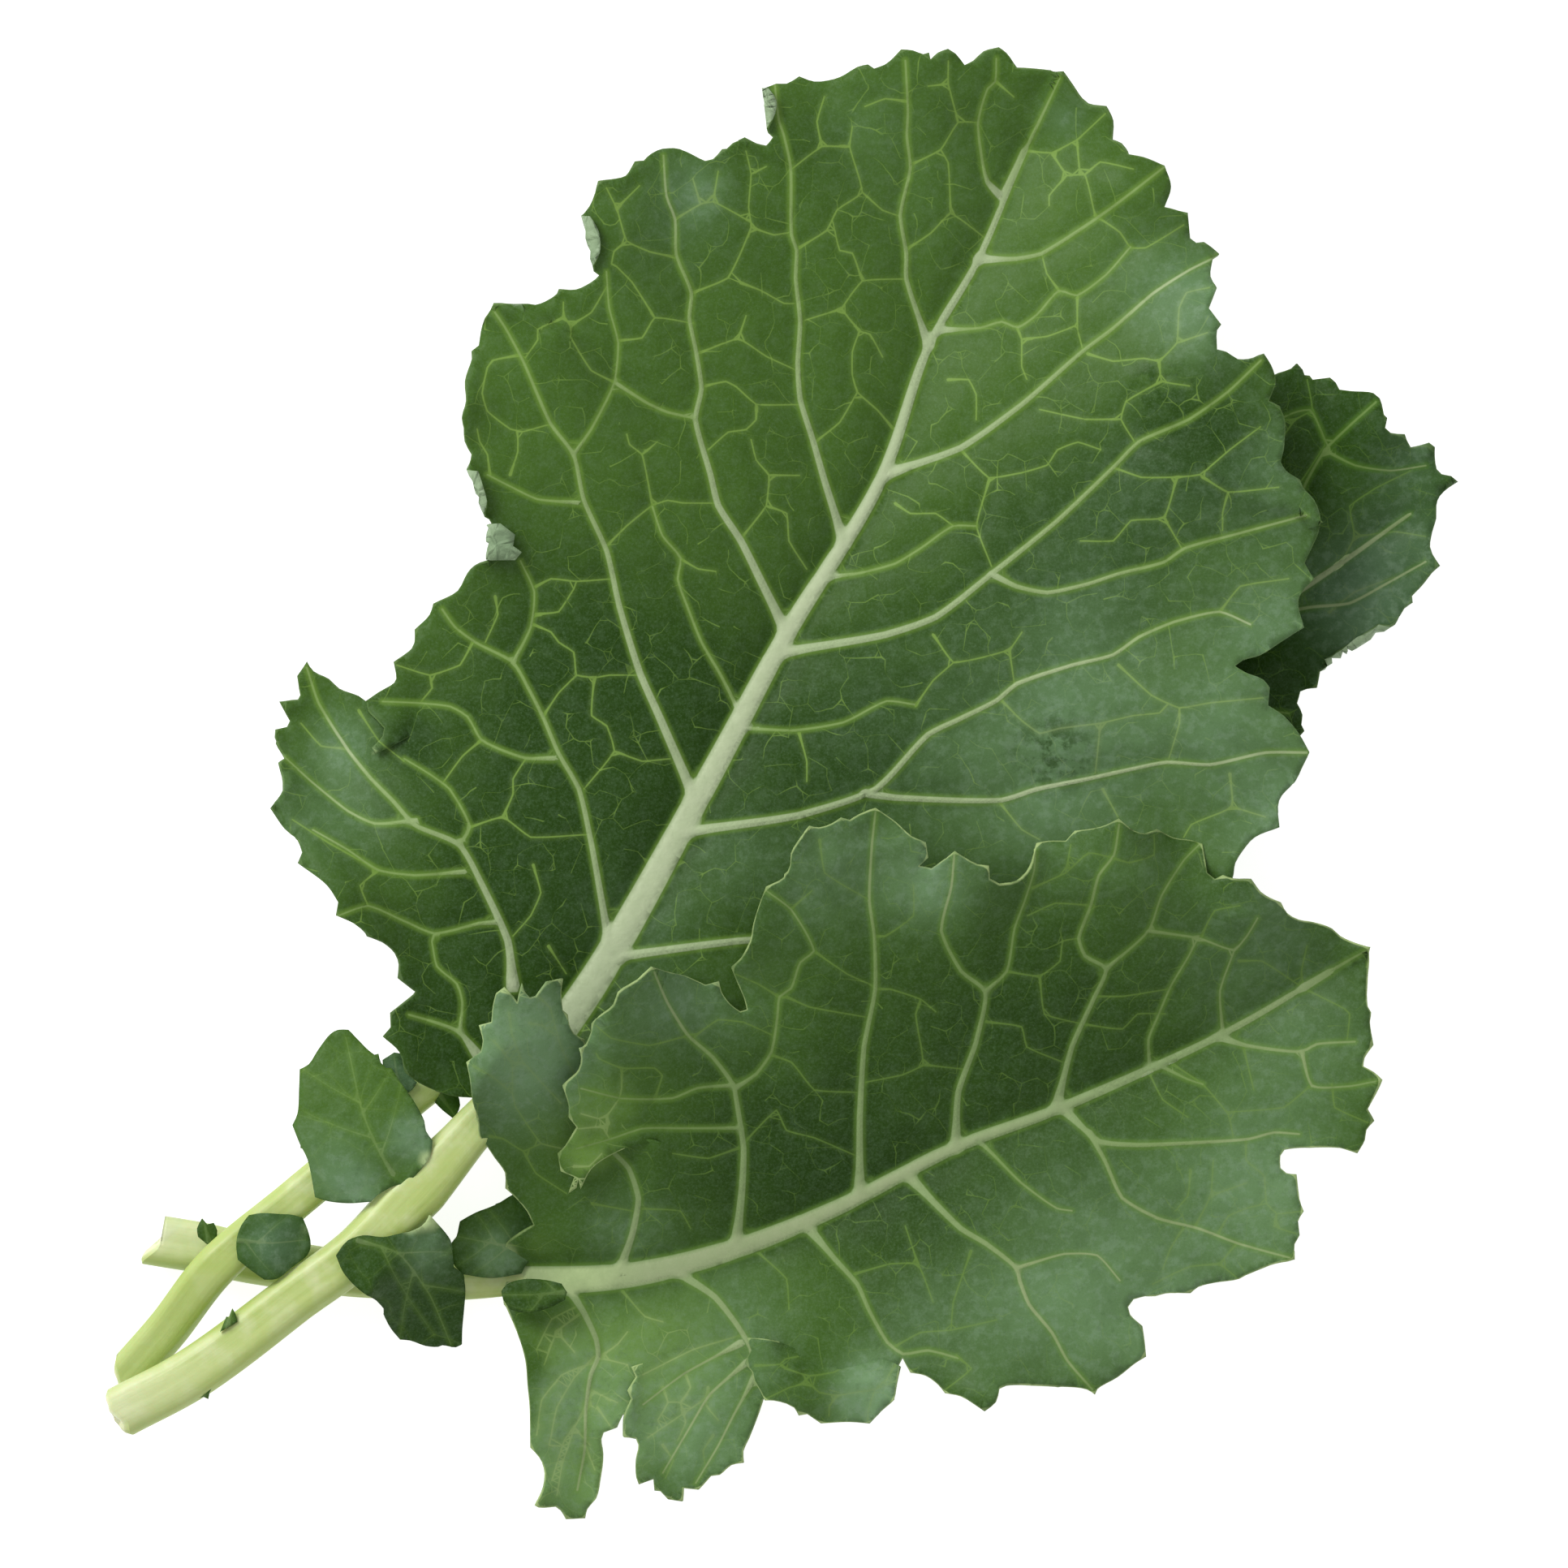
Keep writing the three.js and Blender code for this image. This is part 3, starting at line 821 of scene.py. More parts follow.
    def bend(
        self, layer: Layer, flat: Numbers, fine: list[list[Numbers]]
    ) -> tuple[Numbers, dict[str, Numbers]]:
        """Lifts a flat lay-out into the shape of the leaf.

        Args:
            layer: The lay-out.
            flat: Its corners seen from above.
            fine: The fine veins and the finer ones.

        Returns:
            The corners in space, and what the finish reads at each of them.
        """
        vein, girth = self.near_mains(layer, flat)
        net, mesh = (self.gap(rows, flat)[0] for rows in fine)
        ring = np.column_stack([layer.edge, np.zeros(len(layer.edge))])
        edge_far = self.gap([ring], flat)[0]
        tips = np.exp(-((layer.teeth_far(flat) / self.tooth_reach) ** 2))
        rim = edge_far - self.tooth_tip * tips
        at, lift = flat.copy(), np.zeros(len(flat))
        for fold in self.folds:
            at, change = fold.apply(at)
            lift += change
        z = layer.height(at) + lift + SHEET_TOP
        z -= self.furrow * np.exp(-np.maximum(vein, 0) / self.furrow_width)
        z += self.pillow * (1 - np.exp(-np.maximum(net, 0) / self.pillow_width))
        z += self.small_pillow * self.pillow * (1 - np.exp(-np.maximum(mesh, 0)))
        depth = np.clip(-vein / np.maximum(girth, 0.05), 0, 1)
        z += np.sqrt(1 - (1 - depth) ** 2) * np.minimum(girth, self.vein_cap) * self.vein_rise
        z += self.frills(flat, edge_far, vein)
        facts = {
            "vein": vein,
            "girth": girth,
            "net": net,
            "mesh": mesh,
            "show": np.full(len(flat), self.show),
            "rim": rim if self.rim else np.full(len(flat), FAR),
            # painted light and shade, and a painted sheen over the wax bloom, laid in soft patches
            "tone_light_and_shade": np.clip(self.light + self.spots(self.tone_light_and_shade, flat), 0, 2),
            "bloom_and_sheen": np.clip(self.spots(self.bloom_and_sheen, flat), 0, 1),
            "wet": np.clip(self.spots(self.wet, flat), 0, 1),
            "pale": np.clip(self.spots(self.pale, flat), 0, 1),
            "swell": np.clip(girth / self.widest_vein, 0, 1)
            * np.exp(-(np.maximum(vein, 0) ** 2) / 0.5),
        }
        return np.column_stack([at, np.maximum(z, LOWEST)]), facts

    def spots(self, patches: tuple[Swell, ...], flat: Numbers) -> Numbers:
        """The sum of soft patches at each place."""
        return sum((patch.at(flat) for patch in patches), np.zeros(len(flat)))

    def gap(self, lines: list[Numbers], flat: Numbers) -> tuple[Numbers, Numbers]:
        """Distance from each place to the border of the nearest line, and its half width."""
        far, half, _ = Traces(np.vstack([self.dense(rows) for rows in lines])).read(flat)
        return far - half, half

    def near_mains(self, layer: Layer, flat: Numbers) -> tuple[Numbers, Numbers]:
        """Distance to the border of the nearest main vein, negative inside, and its half width.

        Args:
            layer: The lay-out.
            flat: The places, seen from above.

        Returns:
            The distances and the half widths.
        """
        wide = [rows for rows in layer.mains[1:] if rows[0, 2] > SIDE_VEIN]
        slim = [rows for rows in layer.mains[1:] if rows[0, 2] <= SIDE_VEIN]
        vein, girth = self.gap(layer.mains[:1], flat)
        for group, reach in zip((wide, slim), self.soften):
            if group:
                next_vein, next_girth = self.gap(group, flat)
                vein, share = blend(vein, next_vein, reach)
                girth = girth * share + next_girth * (1 - share)
        return vein, girth

    def dense(self, rows: Numbers) -> Numbers:
        """Adds points along a line, close enough to read distances from.

        Args:
            rows: x, y and half width of the line's points.

        Returns:
            The same rows and those between them.
        """
        step = np.hypot(*np.diff(rows[:, :2], axis=0).T)
        made = [rows[-1:]]
        for a, b, length in zip(rows, rows[1:], step):
            count = max(1, math.ceil(length / TRACE))
            share = np.arange(count)[:, None] / count
            made.append(a * (1 - share) + b * share)
        return np.vstack(made)

    def frills(self, flat: Numbers, edge: Numbers, vein: Numbers) -> Numbers:
        """Small waves along the margin and a light crinkle between the veins.

        Args:
            flat: The places, seen from above.
            edge: Their distance to the margin.
            vein: Their distance to the nearest main vein.

        Returns:
            How far each place rises.
        """
        scale, fine = 1 / self.frill_length, self.crinkle_scale
        waves = [noise.noise((x * scale, y * scale, 3.7)) for x, y in flat]
        crinkle = [noise.noise((x * fine, y * fine, 9.1)) for x, y in flat]
        margin = np.exp(-edge / self.frill_band)
        ripple = self.crinkle * np.array(crinkle) * smoothstep(vein, 0, 1.5)
        return self.frill * self.frill_gain * np.array(waves) * margin + ripple


# ---------------------------------------------------------------- stems


@dataclass(frozen=True)
class Groove:
    """The section of a stem: how it flattens from stalk to midrib, and its long ridges."""

    stalk_end: float
    rib_start: float
    channel: float = 0.12
    channel_width: float = 0.55
    ridges: int = 9
    ridge: float = 0.004
    wave: float = 0.05
    hidden: float = 0.22
    crown: float = 0.86
    belly: float = 0.92
    side_power: float = 0.92
    top_power: float = 0.85
    sunk: float = 0.75


@dataclass
class Stem:
    """A stalk that runs on through its blade as the midrib."""

    name: str
    replaces: tuple[str, ...]
    rib: Rib
    groove: Groove
    sides: int = 40
    step: float = 1.6
    seed: int = 3
    slant: float = 0.0
    tint: float = 0.0
    longer: float = 0.0
    measure_steps: int = 200
    cap_rings: int = 3
    cap_step: float = 0.16
    jag: float = 0.9
    lip: float = 1.3

    def build(self, finish: bpy.types.Material) -> bpy.types.Object:
        """Makes the stem from a cylinder that is cut into rings and bent onto its line.

        Args:
            finish: The stem's material.

        Returns:
            The finished object.
        """
        length = self.rib.line(self.measure_steps)[-1, 4]
        count = round(length / self.step)
        work = bmesh.new()
        bmesh.ops.create_cone(
            work, cap_ends=True, cap_tris=False, segments=self.sides,
            radius1=1, radius2=1, depth=1,
        )
        upright = [e for e in work.edges if abs(e.verts[0].co.z - e.verts[1].co.z) > 0.5]
        bmesh.ops.subdivide_edges(work, edges=upright, cuts=count - 1, use_grid_fill=True)
        ends = [f for f in work.faces if len(f.verts) == self.sides]
        for end in ends:
            for edge in end.edges:
                edge.smooth = False
        for _ in range(self.cap_rings):
            bmesh.ops.inset_region(
                work, faces=ends, thickness=self.cap_step, use_even_offset=False
            )
        self.bend(work, count)
        for face in work.faces:
            face.smooth = True
        mesh = bpy.data.meshes.new(self.name)
        work.to_mesh(mesh)
        work.free()
        mesh.materials.append(finish)
        body = bpy.data.objects.new(self.name, mesh)
        bpy.context.scene.collection.objects.link(body)
        return body

    def bend(self, work: bmesh.types.BMesh, count: int) -> None:
        """Moves every corner of the cut cylinder onto the stem's line.

        Args:
            work: The cylinder, one unit long and wide.
            count: How many rings it has along it.
        """
        line = self.rib.line(count)
        ahead = np.gradient(line[:, :3], axis=0)
        ahead /= np.linalg.norm(ahead, axis=1)[:, None]
        along_layer = work.verts.layers.float.new("along")
        round_layer = work.verts.layers.float.new("round")
        core_layer = work.verts.layers.float.new("core")
        tint_layer = work.verts.layers.float.new("tint")
        for vert in work.verts:
            share = min(max(vert.co.z + 0.5, 0), 1)
            ring = min(round(share * count), count)
            x, y, z, radius, along = line[ring]
            run = Vector(ahead[ring])
            side = Vector((run.y, -run.x, 0)).normalized()
            up = side.cross(run)
            angle = math.atan2(vert.co.y, vert.co.x)
            out = math.hypot(vert.co.x, vert.co.y)
            wide, high = self.section(angle, along, radius)
            jag = 0.0
            if ring in (0, count):
                turn = Vector((math.cos(angle), math.sin(angle), self.seed))
                jag = self.jag * noise.noise(turn * 1.3) * (0.3 if ring else 1)
                jag += 0 if ring else self.lip * out**6 - self.slant * wide * out - self.longer
            centre = Vector((x, y, z))
            vert.co = (centre + side * wide * out + up * high * out + run * jag) * MM
            vert[along_layer] = along / line[-1, 4]
            vert[round_layer] = angle / math.pi
            vert[core_layer] = 1 - out
            vert[tint_layer] = self.tint

    def section(self, angle: float, along: float, radius: float) -> tuple[float, float]:
        """The section's reach sideways and upwards at an angle round the stem.

        Args:
            angle: Angle from the right side, in radians.
            along: Distance along the stem.
            radius: Half width of the stem there.

        Returns:
            The two reaches.
        """
        groove = self.groove
        t = (along - groove.stalk_end) / (groove.rib_start - groove.stalk_end)
        rib = min(max(t, 0), 1)
        rib = rib * rib * (3 - 2 * rib)
        wave = noise.noise((math.cos(angle) * 1.5, math.sin(angle) * 1.5, along * 0.03 + self.seed))
        ridge = groove.ridge * math.cos(groove.ridges * angle)
        ripple = 1 + (1 - rib) * (ridge + groove.wave * wave)
        sine, cosine = math.sin(angle), math.cos(angle)
        wide = math.copysign(abs(cosine) ** groove.side_power, cosine) * radius * ripple
        wide *= 1 - groove.hidden * rib
        under_blade = Sheet.vein_rise * min(radius, Sheet.vein_cap) + Form.seat * radius - groove.sunk
        top = groove.crown * radius * (1 - rib) + under_blade * rib
        middle = (top - groove.belly * radius) / 2 * rib
        near_top = math.exp(-((angle - math.pi / 2) / groove.channel_width) ** 2)
        dip = groove.channel * radius * (1 - rib) * near_top
        if sine > 0:
            high = middle + sine**groove.top_power * (top - middle) * ripple - dip
        else:
            high = middle + sine * (groove.belly * radius + middle) * ripple
        return wide, high


# ---------------------------------------------------------------- finishes


def paint(code: str) -> tuple[float, float, float, float]:
    """A colour as the shaders want it.

    Args:
        code: Its red, green and blue, two figures each in base 16.

    Returns:
        The linear red, green and blue, and full cover.
    """
    parts = [int(code[i : i + 2], 16) / 255 for i in (0, 2, 4)]
    line = [p / 12.92 if p <= 0.04045 else ((p + 0.055) / 1.055) ** 2.4 for p in parts]
    return line[0], line[1], line[2], 1.0


class Value:
    """A number that varies over a surface; sums on it add the nodes that work them out."""

    def __init__(self, shader: "Shader", socket: bpy.types.NodeSocket) -> None:
        """Wraps the socket of a shader that gives the number."""
        self.shader, self.socket = shader, socket

    def __add__(self, other: "Value | float") -> "Value":
        """Sum."""
        return self.shader.maths("ADD", self, other)

    def __sub__(self, other: "Value | float") -> "Value":
        """Difference."""
        return self.shader.maths("SUBTRACT", self, other)

    def __rsub__(self, other: float) -> "Value":
        """Difference from a plain number."""
        return self.shader.maths("SUBTRACT", other, self)

    def __mul__(self, other: "Value | float") -> "Value":
        """Product."""
        return self.shader.maths("MULTIPLY", self, other)

    __radd__ = __add__
    __rmul__ = __mul__

    def ramp(self, low: float, high: float, start: float = 0, end: float = 1) -> "Value":
        """A smooth change from start to end as the number goes from low to high."""
        made = self.shader.node(
            "ShaderNodeMapRange", {"interpolation_type": "SMOOTHSTEP"},
            {0: self, 1: low, 2: high, 3: start, 4: end},
        )
        return Value(self.shader, made.outputs[0])


class Shader:
    """A material and the nodes that make it."""

    def __init__(self, name: str) -> None:
        """Makes an empty material.

        Args:
            name: The material's name.
        """
        self.material = bpy.data.materials.new(name)
        self.material.use_nodes = True
        self.tree = self.material.node_tree
        self.base = self.tree.nodes["Principled BSDF"]
        self.where = self.node("ShaderNodeTexCoord", {}, {}).outputs["Object"]

    def node(self, kind: str, settings: dict, inputs: dict) -> bpy.types.Node:
        """Adds a node.

        Args:
            kind: The node's type.
            settings: Its own settings.
            inputs: Values or links of its sockets, by name or number.

        Returns:
            The node.
        """
        made = self.tree.nodes.new(kind)
        for key, value in settings.items():
            setattr(made, key, value)
        for key, value in inputs.items():
            source = value.socket if isinstance(value, Value) else value
            if isinstance(source, bpy.types.NodeSocket):
                self.tree.links.new(source, made.inputs[key])
            else:
                made.inputs[key].default_value = source
        return made

    def maths(self, operation: str, a: "Value | float", b: "Value | float") -> Value:
        """One step of arithmetic."""
        made = self.node("ShaderNodeMath", {"operation": operation}, {0: a, 1: b})
        return Value(self, made.outputs[0])

    def read(self, name: str) -> Value:
        """A number stored on the piece's own corners."""
        made = self.node("ShaderNodeAttribute", {"attribute_name": name}, {})
        return Value(self, made.outputs["Fac"])

    def cloud(self, size: float, detail: float = 3, rough: float = 0.55) -> Value:
        """A soft mottle whose patches are about a size in millimetres."""
        made = self.node(
            "ShaderNodeTexNoise", {},
            {"Vector": self.where, "Scale": 1000 / size, "Detail": detail, "Roughness": rough},
        )
        return Value(self, made.outputs[0])

    def crackle(self, size: float) -> Value:
        """Distance to the edge of small cells, 0 on the edge, for cells of a size."""
        made = self.node(
            "ShaderNodeTexVoronoi", {"feature": "DISTANCE_TO_EDGE"},
            {"Vector": self.where, "Scale": 1000 / size},
        )
        return Value(self, made.outputs[0])

    def mix(self, share: "Value | float", a: object, b: object) -> bpy.types.NodeSocket:
        """A colour between two others."""
        made = self.node(
            "ShaderNodeMix", {"data_type": "RGBA", "clamp_factor": True}, {0: share, 6: a, 7: b}
        )
        return made.outputs[2]

    def relief(self, height: Value, depth: float) -> None:
        """Fine relief of a depth in millimetres."""
        sockets = {"Height": height, "Distance": depth * MM, "Strength": 1.0}
        self.link(self.node("ShaderNodeBump", {}, sockets).outputs[0], "Normal")

    def link(self, value: "Value | bpy.types.NodeSocket", name: str) -> None:
        """Feeds one of the surface's own sockets."""
        source = value.socket if isinstance(value, Value) else value
        self.tree.links.new(source, self.base.inputs[name])

    def set(self, **values: float | tuple[float, ...]) -> None:
        """Sets plain numbers and colours on the surface's own sockets."""
        for key, value in values.items():
            self.base.inputs[key.replace("_", " ")].default_value = value


@dataclass(frozen=True)
class BladeFinish:
    """The upper side of a blade: deep green with a waxy grey bloom under a painted sheen, painted light
    and shade, and pale veins.
    """

    name: str
    deep: str
    fresh: str
    bright: str
    bloom_and_sheen: str
    net: str
    thin_vein: str
    side_vein: str
    midrib: str
    halo: str
    edge: str
    root: str = "aec28a"
    dust: str = "7d967b"
    net_share: float = 0.75
    edge_share: float = 0.25
    rough: float = 0.46

    def build(self) -> bpy.types.Material:
        """Makes the material.

        Returns:
            The material.
        """
        s = Shader(self.name)
        vein, girth, net = s.read("vein"), s.read("girth"), s.read("net")
        broad, patch, grain = s.cloud(24), s.cloud(3.4, 3), s.cloud(0.6, 2)
        # the tone carries painted light and shade: bright green where light falls, deep green in shade
        tone_light_and_shade = s.read("tone_light_and_shade") + (broad - 0.5) * 0.5 + (patch - 0.5) * 0.3
        color = s.mix(tone_light_and_shade.ramp(0, 1), paint(self.deep), paint(self.fresh))
        color = s.mix(tone_light_and_shade.ramp(1.0, 1.9), color, paint(self.bright))
        # the waxy bloom with a painted sheen of the light, its dust and the wet patches that lack it
        bloom_and_sheen = s.read("bloom_and_sheen")
        waxy_sheen = bloom_and_sheen + (s.cloud(16) - 0.5) * bloom_and_sheen + (patch - 0.5) * 0.35 * bloom_and_sheen
        color = s.mix(waxy_sheen.ramp(0, 1), color, paint(self.bloom_and_sheen))
        damp = s.read("wet").ramp(0.2, 0.8) * s.cloud(4, 4, 0.6).ramp(0.44, 0.58)
        color = s.mix(damp * 0.75, color, paint(self.deep))
        color = s.mix(grain.ramp(0.4, 0.75) * 0.15, color, paint(self.bloom_and_sheen))
        dust = s.cloud(2.2, 5, 0.65).ramp(0.45, 0.66) * waxy_sheen.ramp(0, 0.8, 0.06, 0.36)
        color = s.mix(dust + s.cloud(0.35).ramp(0.5, 0.8) * 0.14, color, paint(self.dust))
        color = s.mix(s.cloud(1.7, 4, 0.7).ramp(0.5, 0.75) * 0.22, color, paint(self.deep))
        # painted shade in the furrows beside the main veins, partly their own darker green; then the fine
        # veins
        near = vein.ramp(0.0, 4.0, 1, 0) * girth.ramp(0.5, 1.9)
        color = s.mix(near * 0.35, color, paint(self.deep))
        show = s.read("show")
        # the fine veins fade and turn paler under the painted sheen, and take the pale edge colour in
        # painted light
        strong = show * (1.0 - waxy_sheen.ramp(0.1, 0.9) * 0.5)
        hairs = s.read("mesh").ramp(-0.1, 0.16, 1, 0) * strong * 0.62
        thread = s.mix(waxy_sheen.ramp(0.2, 0.9) * 0.6, paint(self.net), paint(self.side_vein))
        thread = s.mix(tone_light_and_shade.ramp(1.0, 1.7) * 0.55, thread, paint(self.edge))
        color = s.mix(net.ramp(0.0, 1.0, 1, 0) * 0.14 * show + hairs, color, thread)
        lines = net.ramp(-0.12, 0.12, 1, 0) * strong
        color = s.mix(lines * self.net_share, color, thread)
        # the main veins and the midrib
        color = s.mix(vein.ramp(0.0, 1.0, 1, 0) * strong * 0.55, color, paint(self.halo))
        rib = s.mix(girth.ramp(0.28, 0.8), paint(self.thin_vein), paint(self.side_vein))
        # the main veins turn paler under the painted sheen
        rib = s.mix(waxy_sheen.ramp(0.1, 0.7) * 0.65, rib, paint(self.midrib))
        color = s.mix(vein.ramp(-0.22, 0.1, 1, 0) * show, color, rib)
        pale = s.read("pale")
        flesh = s.mix(pale.ramp(0, 0.6), paint(self.midrib), paint(self.root))
        flesh = s.mix(s.cloud(2.5, 3).ramp(0.3, 0.7) * 0.25, flesh, paint(self.side_vein))
        core = vein.ramp(-0.9, 0.0, 1, 0) * girth.ramp(0.75, 1.5)
        color = s.mix(core, color, flesh)
        color = s.mix(pale.ramp(0.45, 1.05), color, paint(self.root))
        # the margin
        rim = s.read("rim").ramp(0.0, 0.3, 1, 0) * s.cloud(5, 2).ramp(0.3, 0.6, 0.35, 1)
        color = s.mix(rim * self.edge_share, color, paint(self.edge))
        s.link(color, "Base Color")
        s.link((patch * 0.16 + (self.rough - 0.08)) - damp * 0.2, "Roughness")
        s.relief(patch * 0.5 + grain * 0.14, 0.3)
        s.set(Specular_IOR_Level=0.11)
        return s.material


@dataclass(frozen=True)
class UndersideFinish:
    """The lower side of a blade: pale, matt and waxy, with lighter standing veins."""

    name: str
    ground: str
    shade: str
    vein: str

    def build(self) -> bpy.types.Material:
        """Makes the material.

        Returns:
            The material.
        """
        s = Shader(self.name)
        vein, net = s.read("vein"), s.read("net")
        color = s.mix(s.cloud(9, 4).ramp(0.3, 0.7), paint(self.ground), paint(self.shade))
        color = s.mix(net.ramp(0.0, 0.5, 1, 0) * 0.5, color, paint(self.vein))
        color = s.mix(vein.ramp(-0.2, 0.5, 1, 0) * 0.9, color, paint(self.vein))
        s.link(color, "Base Color")
        s.link(s.cloud(2.2).ramp(0.2, 0.8, 0.5, 0.65), "Roughness")
        s.relief(s.crackle(4.4).ramp(0.0, 0.12, 1, 0) + s.cloud(1.6), 0.25)
        return s.material


@dataclass(frozen=True)
class StemFinish:
    """A juicy pale stalk that turns into a greyer midrib."""

    name: str
    stalk: str
    stalk_shade: str
    low_rib: str
    mid_rib: str
    end_rib: str
    cut: str

    def build(self) -> bpy.types.Material:
        """Makes the material.

        Returns:
            The material.
        """
        s = Shader(self.name)
        along, turn, core = s.read("along"), s.read("round"), s.read("core")
        lanes = s.node("ShaderNodeCombineXYZ", {}, {0: along * 7.0, 1: turn * 9.0, 2: 0.0})
        streak = s.node(
            "ShaderNodeTexNoise", {}, {"Vector": lanes.outputs[0], "Scale": 1.0, "Detail": 4.0}
        )
        streaks = Value(s, streak.outputs[0])
        color = s.mix(streaks.ramp(0.4, 0.7) * 0.5, paint(self.stalk), paint(self.stalk_shade))
        color = s.mix(s.cloud(6, 3).ramp(0.4, 0.7) * 0.4, color, paint(self.cut))
        color = s.mix(along.ramp(0.0, 0.1, 0.45, 0), color, paint(self.cut))
        # painted shade on the stalk's right side and underside, and a lighter painted shade along its
        # left edge
        color = s.mix(turn.ramp(0.1, 0.5, 0.8, 0), color, paint(self.stalk_shade))
        color = s.mix(turn.ramp(0.72, 0.95, 0, 0.5), color, paint(self.stalk_shade))
        tint = s.read("tint") * along.ramp(0.05, 0.2, 0.6, 0)
        color = s.mix(tint, color, paint(self.stalk_shade))
        rib = s.mix(along.ramp(0.35, 0.6), paint(self.low_rib), paint(self.mid_rib))
        rib = s.mix(along.ramp(0.6, 1.0), rib, paint(self.end_rib))
        color = s.mix(along.ramp(0.24, 0.42), color, rib)
        color = s.mix(core.ramp(0.02, 0.25) * 0.8, color, paint(self.cut))
        s.link(color, "Base Color")
        s.link(streaks.ramp(0.2, 0.8, 0.36, 0.5), "Roughness")
        s.relief(streaks * along.ramp(0.2, 0.4, 1, 0.25) + s.cloud(3.0, 3), 0.16)
        s.set(Subsurface_Weight=0.12, Subsurface_Scale=0.004)
        return s.material


# ---------------------------------------------------------------- studio


@dataclass(frozen=True)
class Studio:
    """A white table, soft light from the far left, and a camera looking straight down."""

    view_width: float = 309.12
    plane: float = 20.0
    lens: float = 400.0
    sensor: float = 36.0
    table: float = 6.0
    world: float = 0.62
    key: float = 30.0
    key_size: float = 1.1
    key_place: tuple[float, float, float] = (-1.15, 1.05, 1.15)
    table_drop: float = 0.6
    table_grey: float = 0.4
    table_glow: float = 0.85

    def build(self) -> None:
        """Sets up the table, the lights and the camera."""
        bpy.ops.mesh.primitive_plane_add(size=self.table)
        floor = bpy.context.object
        floor.name = "table"
        floor.location.z = -self.table_drop * MM
        s = Shader("white_table")
        s.set(Roughness=0.9)
        s.set(Base_Color=(*[self.table_grey] * 3, 1), Emission_Color=(1, 1, 1, 1))
        s.set(Emission_Strength=self.table_glow)
        floor.data.materials.append(s.material)
        world = bpy.data.worlds.new("studio")
        bpy.context.scene.world = world
        world.use_nodes = True
        sky = world.node_tree.nodes["Background"]
        sky.inputs[0].default_value = (1, 1, 1, 1)
        sky.inputs[1].default_value = self.world
        light = bpy.data.lights.new("key", "AREA")
        light.energy, light.size = self.key, self.key_size
        lamp = bpy.data.objects.new("key", light)
        lamp.location = self.key_place
        lamp.rotation_euler = (-Vector(lamp.location)).to_track_quat("-Z", "Y").to_euler()
        bpy.context.scene.collection.objects.link(lamp)
        camera = bpy.data.cameras.new("camera")
        camera.lens, camera.sensor_width = self.lens, self.sensor
        camera.clip_end = 50
        eye = bpy.data.objects.new("camera", camera)
        eye.location.z = (self.plane + self.view_width * self.lens / self.sensor) * MM
        bpy.context.scene.collection.objects.link(eye)
        bpy.context.scene.camera = eye
        bpy.context.scene.view_settings.view_transform = "Standard"


# ---------------------------------------------------------------- the leaves' own sizes

LARGE_RIB = Rib((
    (-131, -124, 15, 5.2), (-117, -116.5, 14.9, 5.2), (-96.5, -101.3, 14.8, 4.9),
    (-84, -92, 14.8, 5.1), (-72, -79.8, 14.9, 5.9), (-63, -70, 14.6, 4.6),
    (-41, -44, 13.6, 3.6), (-15.5, 0, 11, 2.9), (0.6, 29.8, 8.6, 2.4), (19, 60, 6, 1.8),
    (28.6, 86.6, 3.8, 1.3), (38.5, 104, 2.4, 1.1), (47.5, 125.5, 1.6, 0.9),
))
FRONT_RIB = Rib((
    (-124, -90.3, 4.6, 5), (-115, -91.8, 4.6, 5), (-105, -94, 4.55, 4.9), (-85, -97, 4.5, 4.6),
    (-63, -98.6, 3.8, 3.8), (-50, -98.5, 3.3, 3.2), (-30, -97.2, 3.1, 2.8),
    (-10, -92.2, 2.8, 2.4), (10, -84.2, 2.5, 2), (34, -72, 2.1, 1.7), (54, -64.5, 1.9, 1.5),
    (87, -49.5, 2, 1.1), (108, -37.3, 3.2, 0.9),
))
BACK_RIB = Rib((
    (-129.3, -116, 4.1, 4.3), (-122, -107.8, 7.6, 4.3), (-112, -95.2, 14.9, 4.3),
    (-97.2, -82.6, 12.6, 4.1), (-84, -71.5, 10.6, 4.1), (-72, -60.5, 9, 4), (-42, -42, 5.4, 3.7),
    (0, -19.5, 3.3, 3), (50, 7.5, 2.7, 2.4), (104, 39.5, 2.2, 1.6), (124, 53.5, 4.2, 1),
))
LARGE_SPREAD = (
    (85, 16, 15.5, 16, 12), (105, 28, 17, 26, 11), (130, 55, 19, 40, 9), (172, 82, 13, 72, 6),
    (206, 78, 20, 96, 10), (241, 68, 20, 92, 20), (270, 64, 17, 75, 23), (290, 48, 13, 50, 17),
    (314, 26, 9, 20, 11), (330, 12, 7, 12, 8),
)
FRONT_SPREAD = (
    (62, 40, 30.5, 14, 4), (75, 47, 31.5, 45, 1), (95, 54, 30, 45, 0.5), (115, 60, 29, 48, 2),
    (137, 80, 29, 42, 8), (164, 62, 26, 50, 9), (185, 56, 25, 55, 9), (203, 48, 24, 52, 10),
    (221, 32, 19, 48, 8), (241, 16, 13, 30, 7), (254, 8, 10, 20, 7),
)
BACK_SPREAD = (
    (100, 8, 7, 8, 7), (163, 26, 4.5, 26, 3.5), (219, 34, 4.5, 34, 3), (282, 42, 13, 36, 7),
    (312, 18, 10, 18, 7),
)
LARGE_FORM = Form(LARGE_RIB, LARGE_SPREAD, swells(
    (-96, 8, 22, -6), (60, 60, 30, 2), (-45, 70, 30, 1.5), (98, 25, 12, -3), (-84, -20, 14, 3),
))
